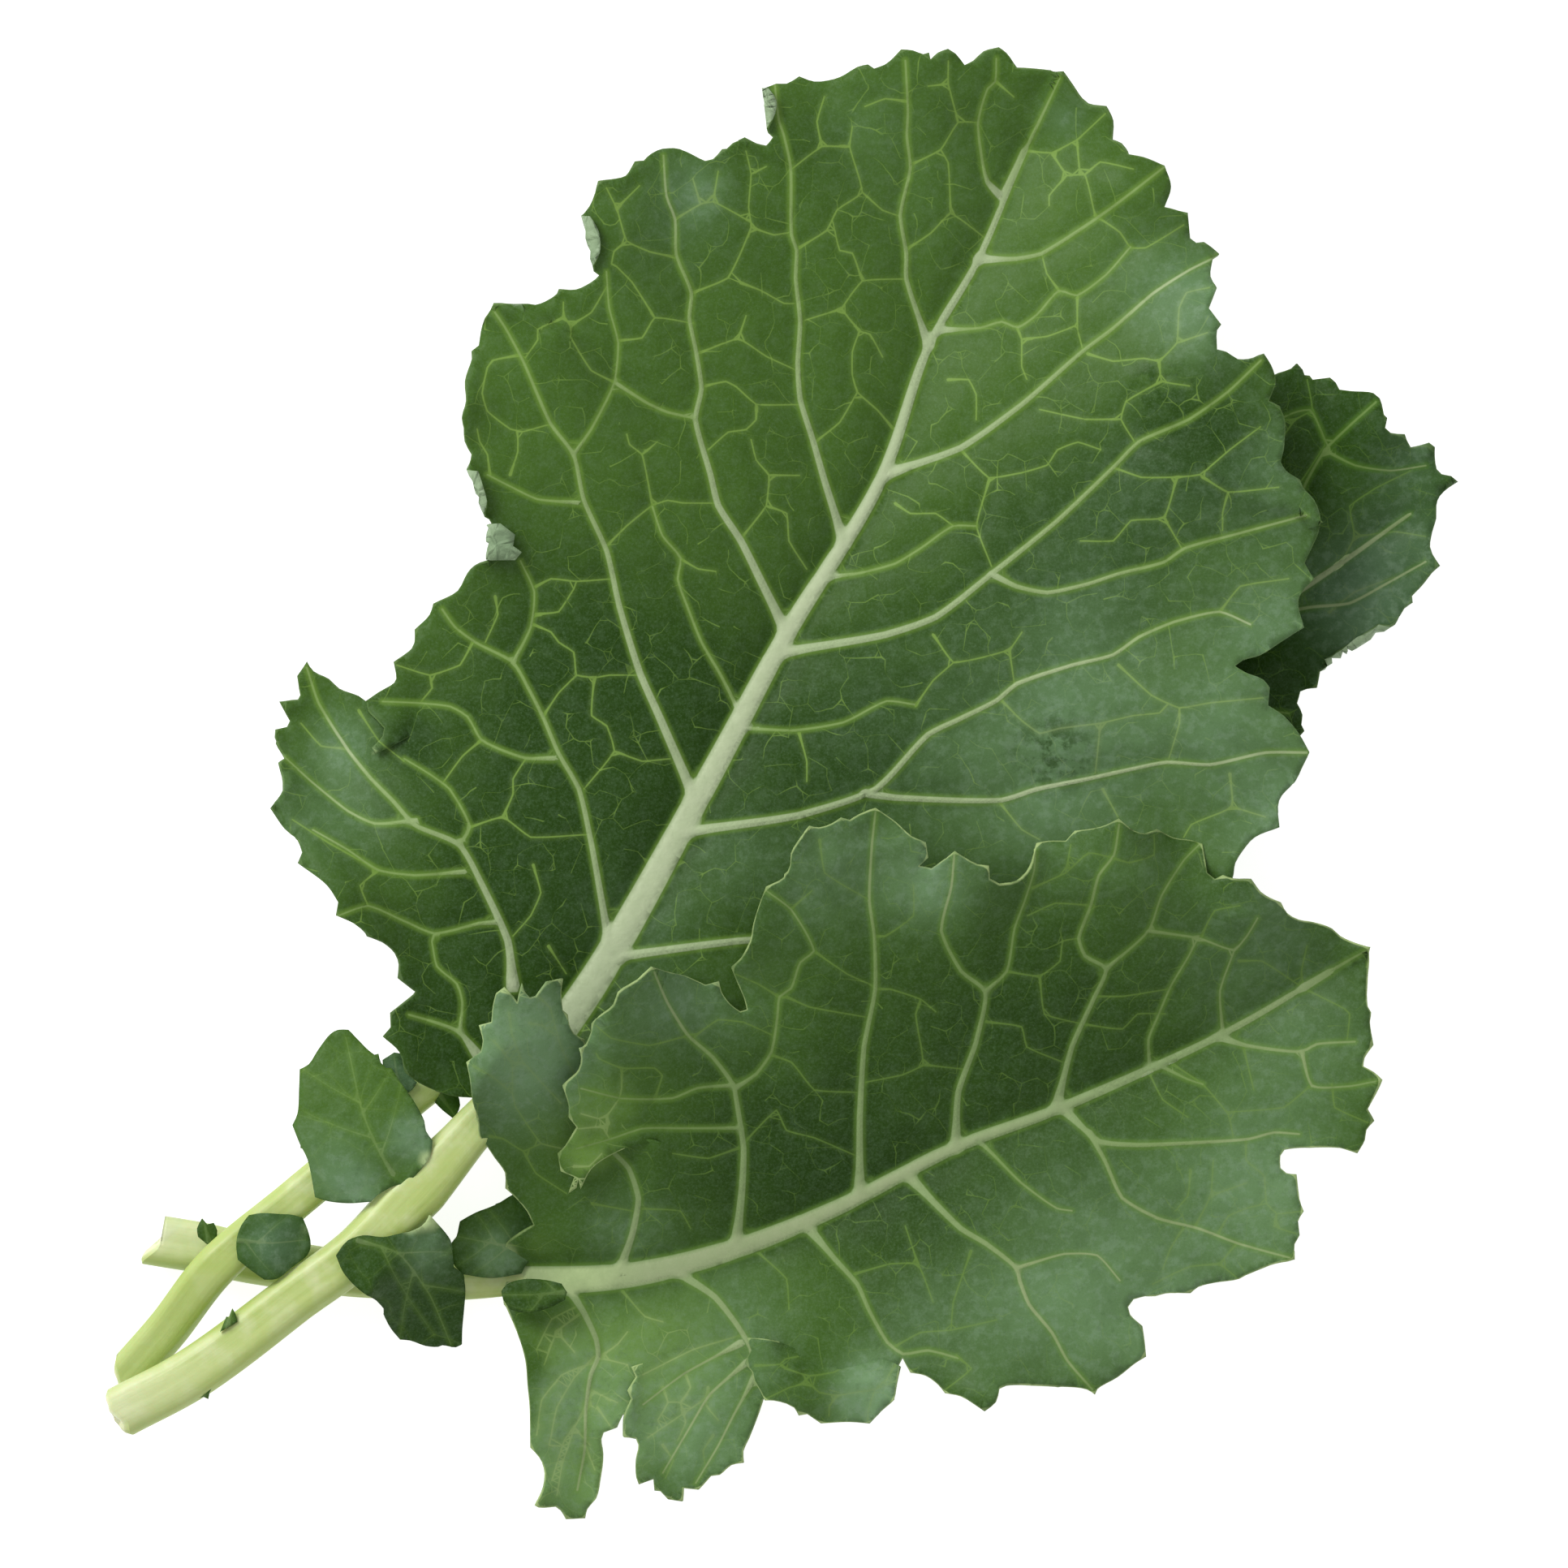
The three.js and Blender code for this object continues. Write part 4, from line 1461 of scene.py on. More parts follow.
FRONT_FORM = Form(FRONT_RIB, FRONT_SPREAD, swells(
    (12, -30, 16, 2), (84, -90, 22, -3), (40, -118, 16, 3), (0, -118, 12, 4),
))
BACK_FORM = Form(BACK_RIB, BACK_SPREAD)
LOBE_DROP = 4.5  # how far the front blade's upper lobe turns down
LOBE_RIB = (-55.5, -52, -25)  # where the front blade, its lobe and the seam meet the rib

LARGE_MARGIN = xy(
    -61, -62, -66, -61.5, -72, -59, -74.7, -57, -75.8, -53, -79.2, -49.8, -77.6, -48, -77.6, -45.2,
    -73, -41.6, -72.6, -41, -76, -38.2, -75.8, -35.5, -76.5, -33.5, -79, -31.2, -82, -30, -82.3, -29.4,
    -84.5, -27.6, -88.3, -25.9, -87.8, -23.3, -90, -20, -95.9, -15.6, -95, -13.5, -96, -11, -98.5, -8.9,
    -101.4, -4.8, -98.7, -1.2, -98.7, 0.5, -99.7, 4.4, -98.5, 5.2, -100.5, 9.2, -100.4, 10.8, -98.2, 11.3,
    -97.6, 12.4, -99.7, 16.2, -96, 16.6, -95.5, 17.5, -96.2, 21.3, -94.3, 24.1, -93, 22.2, -90, 20.7,
    -88, 18.8, -84, 17.4, -82.6, 16.4, -80, 18.2, -77, 20, -76.6, 20.8, -77.1, 24, -73.5, 26.8, -73, 28,
    -73, 30.5, -70, 33.5, -69.3, 35.6, -64.5, 38, -62.5, 41.5, -61, 43, -57.6, 44.2, -64.4, 44.2,
    -65.7, 45.8, -64, 47, -64.4, 49.3, -61.6, 51.4, -57.4, 51.2, -58, 52.2, -61, 53.6, -63, 57,
    -64.2, 60.2, -62, 63, -61.5, 65, -62.8, 67.5, -63, 70, -63.4, 72, -62.5, 75.5, -62.8, 79.5, -61.5, 84,
    -61.6, 85.4, -60.2, 86.5, -59.5, 90.5, -58.5, 92.5, -57.2, 94.3, -54.5, 94.6, -50.5, 94.7, -49, 94.5,
    -47, 95.2, -44.8, 96.6, -44.4, 97.6, -41, 97.5, -38, 98.9, -36.4, 100.2, -40.4, 103.6, -42, 107.6,
    -41.8, 111, -39.2, 112.8, -37.8, 115, -36.6, 118.8, -33, 119.3, -31, 120, -30, 121.5, -29.3, 122.8,
    -27.5, 123, -26, 124.5, -24, 125.4, -20.5, 125.3, -18, 124.2, -15.5, 123, -14, 123.3, -12.2, 125.3,
    -11.2, 125.4, -10, 126.5, -7.8, 127.4, -5.5, 126.3, -3.5, 126, -2.1, 127.8, -5.2, 130.8, -6.4, 134.2,
    -5.6, 137, -3, 137.9, -1.5, 138.5, 0.5, 138.5, 3, 140, 6, 139, 10, 139.5, 12, 140.3, 14.5, 141.8,
    16.5, 142.2, 17.8, 141.4, 19.5, 142, 21, 143, 23.2, 145.2, 25.5, 145, 27.5, 144.3, 28.7, 144.6,
    29, 143.2, 30.5, 144.5, 32.5, 145.2, 34, 144.3, 35.8, 142.1, 37.5, 143, 39.5, 144.8, 42.5, 145.6,
    44, 144.5, 46, 141.6, 50, 141.3, 55, 140.8, 57, 138, 58.8, 135.4, 60, 134.4, 63.5, 133.8, 64.8, 131,
    64.7, 127.3, 66.5, 126.5, 68, 124.4, 71, 123.8, 75.2, 122.2, 76.5, 118, 75.2, 114, 77.5, 113.4,
    79.8, 112.9, 80.3, 107.9, 81.5, 107, 83, 107.2, 84.5, 106.2, 86.1, 104.8, 84.8, 104, 84.2, 100.3,
    85.3, 98.2, 83.7, 94, 86.2, 90.6, 85.4, 89.5, 85.4, 85.7, 87.3, 85.2, 89.5, 83.8, 91.5, 83.7,
    94.6, 84.7, 96, 82.5, 97, 79.5, 95.6, 75.5, 97.8, 74.5, 98.8, 71.5, 98.5, 66, 98, 63.5, 99, 61.8,
    101.8, 60, 102.3, 58.5, 104.5, 56, 105.6, 53, 105.5, 50, 104, 46.5, 102.6, 43.5, 104.4, 40.4,
    101.6, 37, 101.4, 35, 102.4, 30.9, 98, 28, 94, 25.5, 90.5, 24.5, 88.9, 23.3, 91, 22, 94.5, 20.6,
    95.8, 19, 95.5, 15.5, 98.5, 13.5, 101.5, 10, 103.6, 6.3, 102, 3, 100.8, 0.5, 98.2, -2.3, 97.3, -4.5,
    97.7, -8.5, 92.8, -10.5, 90.5, -13, 89, -15.5, 88.3, -18.8, 80, -27, 68, -34, 54, -41, 38, -46,
    22, -51, 5, -55, -15, -57, -32, -59, -45, -63, -57, -68,
)
FRONT_MARGIN = xy(
    -55.8, -101.5, -54.5, -104.5, -52.5, -109.5, -51.2, -114, -50.8, -119, -50.4, -123.5, -50.3, -131.5,
    -48.5, -133.5, -47.3, -136.5, -47.8, -140, -49.2, -142.8, -48.5, -143.2, -45, -143.1, -44, -143.9,
    -43, -145.7, -39.4, -145.6, -39, -143.8, -37.3, -141.5, -36.3, -137, -35.9, -133, -36.3, -130,
    -35.8, -128.5, -33.2, -127.5, -32, -125, -30.3, -123.5, -31.2, -125, -31.7, -129.4, -29.3, -129.6,
    -28.8, -131, -29.4, -134, -29.3, -137.5, -28.8, -138.9, -25.9, -137.8, -25.7, -140.1, -24.5, -140.2,
    -23, -141.8, -20.2, -142.2, -20, -139.5, -17, -139.8, -14.5, -137, -12.8, -136.8, -10.5, -134.8,
    -8, -134.4, -8.2, -132, -7, -129.5, -5, -124.5, -4.2, -121.8, 0, -121, 6, -123, 12, -124.6,
    18, -122.5, 21, -118, 23.4, -113.4, 25, -116.4, 28, -117, 30.5, -118.8, 31.8, -120.4, 35, -121,
    38, -122.8, 39.6, -123.9, 41.8, -122, 42.6, -119.2, 44, -118.6, 50, -118.8, 56, -119.2, 60, -119.8,
    61.5, -120.8, 62, -119.7, 66, -117.3, 69.5, -114.5, 71.6, -113.2, 71.3, -110, 70.9, -107.2,
    68.5, -105, 68.1, -103.5, 69.2, -102, 71.5, -101.4, 73.5, -101.3, 75.5, -100.8, 80.5, -100.8,
    82, -99.6, 85, -98.8, 90, -98, 91.3, -97.2, 97, -94.8, 101, -94, 101, -91, 102, -89.2, 101.7, -86.5,
    102.8, -84.5, 101.9, -82, 101.3, -77.2, 99.3, -77, 98.2, -76, 98.2, -73.5, 99, -72.3, 102, -71.9,
    110, -72, 113.5, -73.1, 115, -70.5, 115.3, -68.5, 116.7, -66.8, 115.4, -64.5, 117, -61, 118.1, -58.5,
    116.5, -57, 114.5, -55.8, 114.8, -54, 116.6, -51.5, 116, -47, 116.2, -45.2, 115.5, -44, 115.4, -39,
    115.7, -35, 115.8, -32.4, 113, -31.6, 110, -30.2, 108.5, -28.8, 105, -27.5, 102, -27, 99.5, -25.7,
    98.2, -23.5, 96, -22.7, 94, -21.5, 92, -18.9, 88.5, -18.8, 86.5, -18, 85, -18.8, 83.5, -17.5,
    83, -14.5, 82.6, -11.8, 80.5, -11.1, 77, -10.6, 73.8, -9, 71.5, -9.8, 69, -9.2, 66, -7, 62.5, -8.4,
    60, -8.9, 57.3, -9.2, 55.5, -11.2, 52, -11.2, 49.8, -11.6, 49.3, -13.5, 48.6, -16.5, 46, -19.3,
    42.5, -19.9, 40.5, -18.8, 40.3, -16.2, 38, -15.9, 35.5, -14.5, 33.6, -13.3, 31, -15.3, 29, -16.7,
    26.6, -16.2, 28.4, -14.5, 27.9, -11.5, 25, -10.3, 22, -7.5, 18.2, -4.8, 15, -6, 13, -7.2, 11.2, -6.7,
    9.5, -7.8, 7, -8.6, 5.1, -8.3, 3.5, -10.5, 1.4, -13.8, 1.2, -16, 0, -18.5, -3.6, -20.4, -4.8, -23.5,
    -6, -27.5, -6.6, -31, -8.5, -34.5, -10.4, -36.2, -9.5, -38.5, -7.8, -42.5, -7.3, -44.5, -8.6, -44.9,
    -10.5, -43.5, -12.3, -41, -12.8, -38.9, -15.5, -39.6, -18, -38.4, -19.6, -37.7, -22, -37.2,
    -25.8, -36, -29, -38.8, -32.5, -41.1, -33.4, -43.5, -36.5, -45.8, -37.9, -47.1, -37.9, -48.5,
    -38.9, -51.4, -40, -52, -39.8, -54.2, -40.4, -56.4, -43.6, -59.5, -42.4, -63.5, -42.4, -65.8,
    -40.8, -67.8, -43.2, -71.5, -44.7, -73, -44.1, -76.5, -41.4, -77.6, -42.7, -81, -41, -79.8,
    -40.6, -78, -40.2, -80.1, -38, -76, -34, -73.2, -29, -71.2, -24, -70.8,
)
LOBE_SEAM = xy(-24, -70.8, -21.5, -75, -21, -82, -22, -90, -24, -95.9)
LOBE_MARGIN = xy(
    -52, -98.3, -55.5, -96.8, -56.2, -94, -54.8, -91, -52.2, -89, -49.5, -87.3, -50.8, -84.5,
    -53.5, -81.3, -55, -80, -55, -77, -57, -74, -58.5, -71.7, -60, -69.5, -60.3, -66, -61.3, -62.5,
    -61.8, -58, -62.5, -54.7, -59.6, -52.6, -59.2, -50.5, -60, -47.4, -57.5, -46.8, -57.2, -43.5,
    -56.6, -41.2, -55, -40, -53.8, -41.2, -52.4, -43, -52, -41.5, -51.4, -39.2, -50.8, -41, -49.8, -42.1,
    -48.6, -41.8, -46.5, -38.9, -43.4, -38.3, -43.8, -41, -43.5, -44.5, -42.5, -45.4, -42.2, -47.5,
    -41.2, -49.3, -39.2, -50.5, -38, -60, -34.5, -69.5, -30, -69.9, -26.5, -70.2, -24, -70.8,
)
BACK_MARGIN = xy(
    -52, -49, -46, -39, -22, -21, 8, 6, 38, 36, 62, 60, 84, 76, 97, 80.8, 98, 81.3, 100.5, 82.2,
    101.5, 83.2, 102.6, 82, 103, 80.9, 104, 80.8, 104.6, 80, 108, 80.4, 109, 79.5, 109.8, 78, 112, 77.7,
    116.5, 77.3, 117.7, 76.3, 118.3, 74, 118.5, 73, 119.2, 72.3, 118.8, 70.3, 120, 69.2, 122.8, 68.9,
    123.2, 67.8, 124, 66.4, 125.8, 66.8, 127.5, 67.3, 128.7, 66.4, 128.7, 64.5, 129, 62.3, 130, 61.3,
    132, 60.9, 133.4, 59.8, 131.5, 58.6, 129.8, 57, 129, 55, 129, 52.5, 128.3, 50, 127.8, 47, 128.2, 45.6,
    129.7, 43.3, 128, 41.8, 126.5, 39.8, 124.2, 37.3, 124.3, 36, 122.8, 34.9, 122, 33.5, 121.2, 32.6,
    119.6, 28.4, 114, 25.2, 108.6, 22.2, 106.6, 24, 107.4, 23, 105.9, 22.3, 105.7, 20.8, 105.4, 19,
    103.5, 18.8, 102.2, 18.3, 101.6, 16, 102.6, 13.8, 102.4, 11.8, 103, 10.6, 97, 4, 90, -4, 76, -14,
    58, -22, 38, -30, 16, -38, -8, -46, -30, -50, -44, -51,
)

LARGE_VEINS = (
    Vein(xy(43.2, 116.5, 48, 126, 54.5, 139.5), 1.5, 0.4, 0),
    Vein(xy(28.6, 87, 24.2, 100, 24.2, 105, 23, 112.5, 25, 122, 24.3, 128, 24.5, 133, 24, 143), 1.3, 0.5),
    Vein(xy(11, 50.6, 8, 60, 5.7, 68, 3.2, 76, 2.7, 83, 3.2, 91.5, 2.3, 100, 2.5, 105.5, 1.5, 108.5,
         1.3, 122, 0, 128, -1, 131, -1.8, 138), 1.8),
    Vein(xy(0.6, 29.8, -4, 39, -8.5, 48, -13, 55, -14.5, 61, -17.5, 72, -16.3, 78, -17.3, 85, -18.7, 92,
         -18.3, 97, -21.3, 104.5, -21.5, 111.5, -23.2, 116, -23.8, 124), 2.1),
    Vein(xy(-18.6, -0.6, -24.5, 13, -28.5, 22, -32.5, 35, -35, 46, -39.5, 56, -41.5, 65, -46, 71,
         -51.5, 83.5, -55, 90, -57, 93), 2.2),
    Vein(xy(-41.5, 65, -38, 70, -33.5, 79, -32.7, 87, -34.5, 94, -35, 101), 0.66, 0.4, 0.2),
    Vein(xy(-35.5, -26, -38, -12, -40.5, -1, -44.5, 6, -47.5, 13, -50, 18, -53.5, 24, -61, 28, -65, 31,
         -67.5, 34.5), 1.7),
    Vein(xy(-53.5, 24, -50, 31, -49.3, 38, -52, 44), 0.66, 0.4, 0.2),
    Vein(xy(-53.5, -40, -54.5, -31, -59, -21, -64, -12, -73, -8, -77, -3.5, -81.5, 1, -86, 6.5, -92, 16,
         -94.3, 23), 1.9),
    Vein(xy(-64, -12, -62, -8.5, -66, -1, -70, 2, -75, 5), 0.66, 0.4, 0.2),
    Vein(xy(-63, -17.3, -73, -18, -80, -17, -86, -13, -93, -9), 0.75, 0.4, 0.3),
    Vein(xy(-57, -27.3, -60, -27.5, -69, -29.5, -75, -27, -82, -24, -88, -26), 0.75, 0.4, 0.3),
    Vein(xy(-60.5, -53.5, -64, -49, -68, -47.3, -74, -45.5), 1.3, 0.5),
    Vein(xy(-64, -49, -63.5, -43, -64.5, -39.5, -68.5, -36, -69.5, -31), 0.66, 0.4, 0.3),
    Vein(xy(38.5, 104, 46, 104, 51, 105, 64.6, 113.8, 75, 121.8), 1.2, 0.5),
    Vein(xy(20.5, 61.5, 35, 66.5, 47, 75, 59, 85.5, 65, 90, 73, 97, 80, 101.5, 86, 104.5), 1.8),
    Vein(xy(3, 26.6, 20, 29.5, 30, 33, 41, 41.5, 54, 52, 65, 62.5, 70, 67.5, 80, 72, 87.5, 77.3,
         94, 83.5), 2.0),
    Vein(xy(41, 41.5, 46, 39, 52, 37.8, 60, 39.5, 66, 41.5, 75, 43.8, 79, 46.5, 90, 49.5, 103, 53), 1.1,
         0.5, 0.3),
    Vein(xy(-16.2, -9, 3, -6.2, 18.2, -1, 28.5, 9.8, 35, 13, 42, 16.5, 46, 19.8, 57, 23.5, 65, 25.5,
         70, 29, 77, 32, 86, 34, 92, 31.5), 2.1),
    Vein(xy(16, -1.8, 22, -2.7, 43, -3.2, 50, -1, 60, 1, 68, 2.8, 75.5, 4.3, 84, 3.8, 95, 6.2, 103, 6.2),
         1.5, 0.6, 0.3),
    Vein(xy(-31.4, -33.9, -9, -31, 10, -30, 30, -28), 2.0, 1.0),
    Vein(xy(-9, 14.5, -12.5, 21.5, -16.3, 28, -18.7, 34, -21, 40.5, -20.4, 44.6, -24, 49, -26, 54.8), 0.8,
         0.45, 0.3),
    Vein(xy(-7, 11, 2, 10.6, 11.8, 12.2, 20.3, 16.4, 25.8, 15.7), 0.7, 0.45, 0.4),
    Vein(xy(9, 41, 14.8, 41.7, 22, 43.6, 27, 46.6, 33.4, 51, 37.8, 51), 0.7, 0.45),
    Vein(xy(-45.4, 5.1, -51, 5.1, -56.2, 6.9, -59.9, 8.8, -62.5, 13.3, -65.9, 15.3, -72.2, 16,
         -79.3, 16.3), 0.75, 0.4, 0.3),
    Vein(xy(-72.6, -7.2, -80.8, -7.8, -86, -5.4, -93.5, 0.6, -98.4, 5.1), 0.8, 0.4, 0.3),
    Vein(xy(-40.6, 55.5, -48.7, 56.2, -54.4, 58.9, -58.5, 61), 0.66, 0.4, 0.3),
    Vein(xy(-33.1, 79, -26.7, 75, -23, 73.4, -17.5, 72.2), 0.7, 0.6, 0.2),
    Vein(xy(31, 89.9, 38.9, 90.3, 43.1, 91.5, 46.2, 90.3, 50, 92.8, 54.4, 97.6, 57.9, 96.6, 63.7, 100.7,
         68.5, 106.2), 0.6, 0.45),
    Vein(xy(42.9, 116.6, 40.3, 119.3, 39.3, 123.1, 38.4, 131, 40.3, 137.6, 41.8, 139, 42, 143.5), 0.9,
         0.4),
)
FRONT_VEINS = (
    Vein(xy(-9.5, -91.5, -8.3, -80, -8, -72, -9.5, -62, -10, -59.5, -14, -54, -19, -49.5, -23, -43,
         -25.5, -37), 2.0),
    Vein(xy(-9.5, -60, -5.5, -57.3, -2.5, -53, -1.3, -46, -0.9, -42, 1.4, -40.3, 3.2, -35.2, 5.9, -32.9,
         1.4, -24.7, -3.5, -21), 0.75, 0.4, 0.3),
    Vein(xy(-10, -59.5, -17, -60, -22, -62, -32, -62, -40, -60), 0.66, 0.4, 0.3),
    Vein(xy(-8.5, -68, -20, -68, -28, -68, -34, -70, -41, -72), 0.66, 0.4, 0.3),
    Vein(xy(15, -81, 15, -66, 15.8, -52, 18, -40.5, 17.8, -30, 16.8, -23, 17.3, -12, 18, -5.5), 1.8),
    Vein(xy(34, -72, 34.5, -61, 38, -51, 39.8, -41, 35, -37, 31, -29, 33, -20, 33.5, -14), 1.7),
    Vein(xy(39.8, -41, 44, -37, 45.5, -28.5, 47.5, -23, 49.3, -17, 49.5, -12), 0.66, 0.4, 0.3),
    Vein(xy(54, -64, 57, -52, 61, -43, 63.7, -36.5, 59.5, -34, 58.2, -30.5, 60.5, -24, 62, -18, 65, -14,
         66, -8), 1.5),
    Vein(xy(63.7, -36.5, 72, -29, 74.5, -22, 79, -15, 82, -12), 0.66, 0.4, 0.3),
    Vein(xy(72, -29, 82, -30.5, 89, -32.8, 91.5, -30, 93.5, -26.5), 0.7, 0.4, 0.2),
    Vein(xy(72.5, -56, 72.2, -50.5, 74, -46, 76.5, -40, 80, -34, 82, -30), 0.66, 0.4, 0.3),
    Vein(xy(87, -49.5, 86.3, -41, 89, -33), 0.66, 0.4, 0.3),
    Vein(xy(-44, -98.5, -42, -101, -39.5, -105, -37.2, -110, -36.8, -113.5, -38.3, -117, -39.3, -124,
         -39.5, -132, -41, -140), 1.7),
    Vein(xy(-22, -96, -19.3, -97.8, -13.7, -101.6, -9.6, -106.7, -6.6, -111.7, -5.6, -118.8), 1.7, 0.9),
    Vein(xy(-8.6, -110.7, -19.8, -116.8, -27.9, -122.9), 0.7, 0.4),
    Vein(xy(-6.6, -113.8, -14.7, -120.9, -19, -128, -24, -136.5), 0.8, 0.4),
    Vein(xy(-5.6, -117, -10, -125, -13, -131, -17.5, -138.5), 0.7, 0.4),
    Vein(xy(4.5, -87.5, 10, -94, 14.5, -99, 17, -104.5, 20.5, -110.5, 23.5, -112.7, 28.5, -112,
         34.5, -113.5), 1.5),
    Vein(xy(24.5, -77.5, 35, -88, 40, -91, 46, -95.8, 46.7, -98.5, 48.5, -103, 53, -108.5, 56, -114,
         61, -119.8), 1.7),
    Vein(xy(46, -95.8, 50, -94.5, 55.5, -93, 62, -93.3, 66.5, -98.3), 0.66, 0.4, 0.3),
    Vein(xy(38, -70.5, 40, -72, 47, -79, 54, -84, 57, -84.5), 0.8, 0.4, 0.3),
    Vein(xy(55, -64, 62.5, -70.8, 70, -71.5, 82, -71, 92, -70.3, 97, -69, 102, -69.3), 1.5, 0.5),
    Vein(xy(60.5, -69, 63.5, -74.5, 67, -82, 74, -86, 82, -88, 90, -91, 100, -93.7), 1.0, 0.5, 0.3),
    Vein(xy(74, -55.5, 80, -58.5, 83, -59.5), 0.8, 0.4, 0.3),
    Vein(xy(86, -50, 91.5, -51.8, 102.5, -53, 105.5, -51.5, 113, -51), 1.0, 0.5),
    Vein(xy(102.5, -53, 104.5, -59.8, 112, -59.8, 117, -58.8), 0.7, 0.4, 0.2),
    Vein(xy(103, -40.3, 110, -36, 115.4, -32.8), 1.5, 0.4, 0),
)
LOBE_VEINS = (
    Vein(xy(-33, -97.5, -30, -89, -28.8, -82, -30.7, -76, -33.7, -72.9, -40, -68), 1.7, 0.9),
)
BACK_VEINS = (
    Vein(xy(96, 34.5, 103, 59, 107, 66, 112, 71, 117, 75.5), 1.0, 0.5),
    Vein(xy(92, 32.5, 104, 35, 112, 35.8, 119, 39.5, 127, 44), 1.0, 0.5),
    Vein(xy(84, 28, 92, 52, 98, 72, 104, 74, 107.5, 67), 0.8, 0.4, 0.2),
    Vein(xy(107, 66, 113, 63, 120, 62, 127, 63), 0.6, 0.4, 0.2),
    Vein(xy(60, 14, 70, 34, 82, 56), 0.9, 0.5),
    Vein(xy(40, 2, 50, 22, 62, 44), 0.9, 0.5),
    Vein(xy(70, 20, 84, 16, 100, 14), 0.8, 0.4),
)

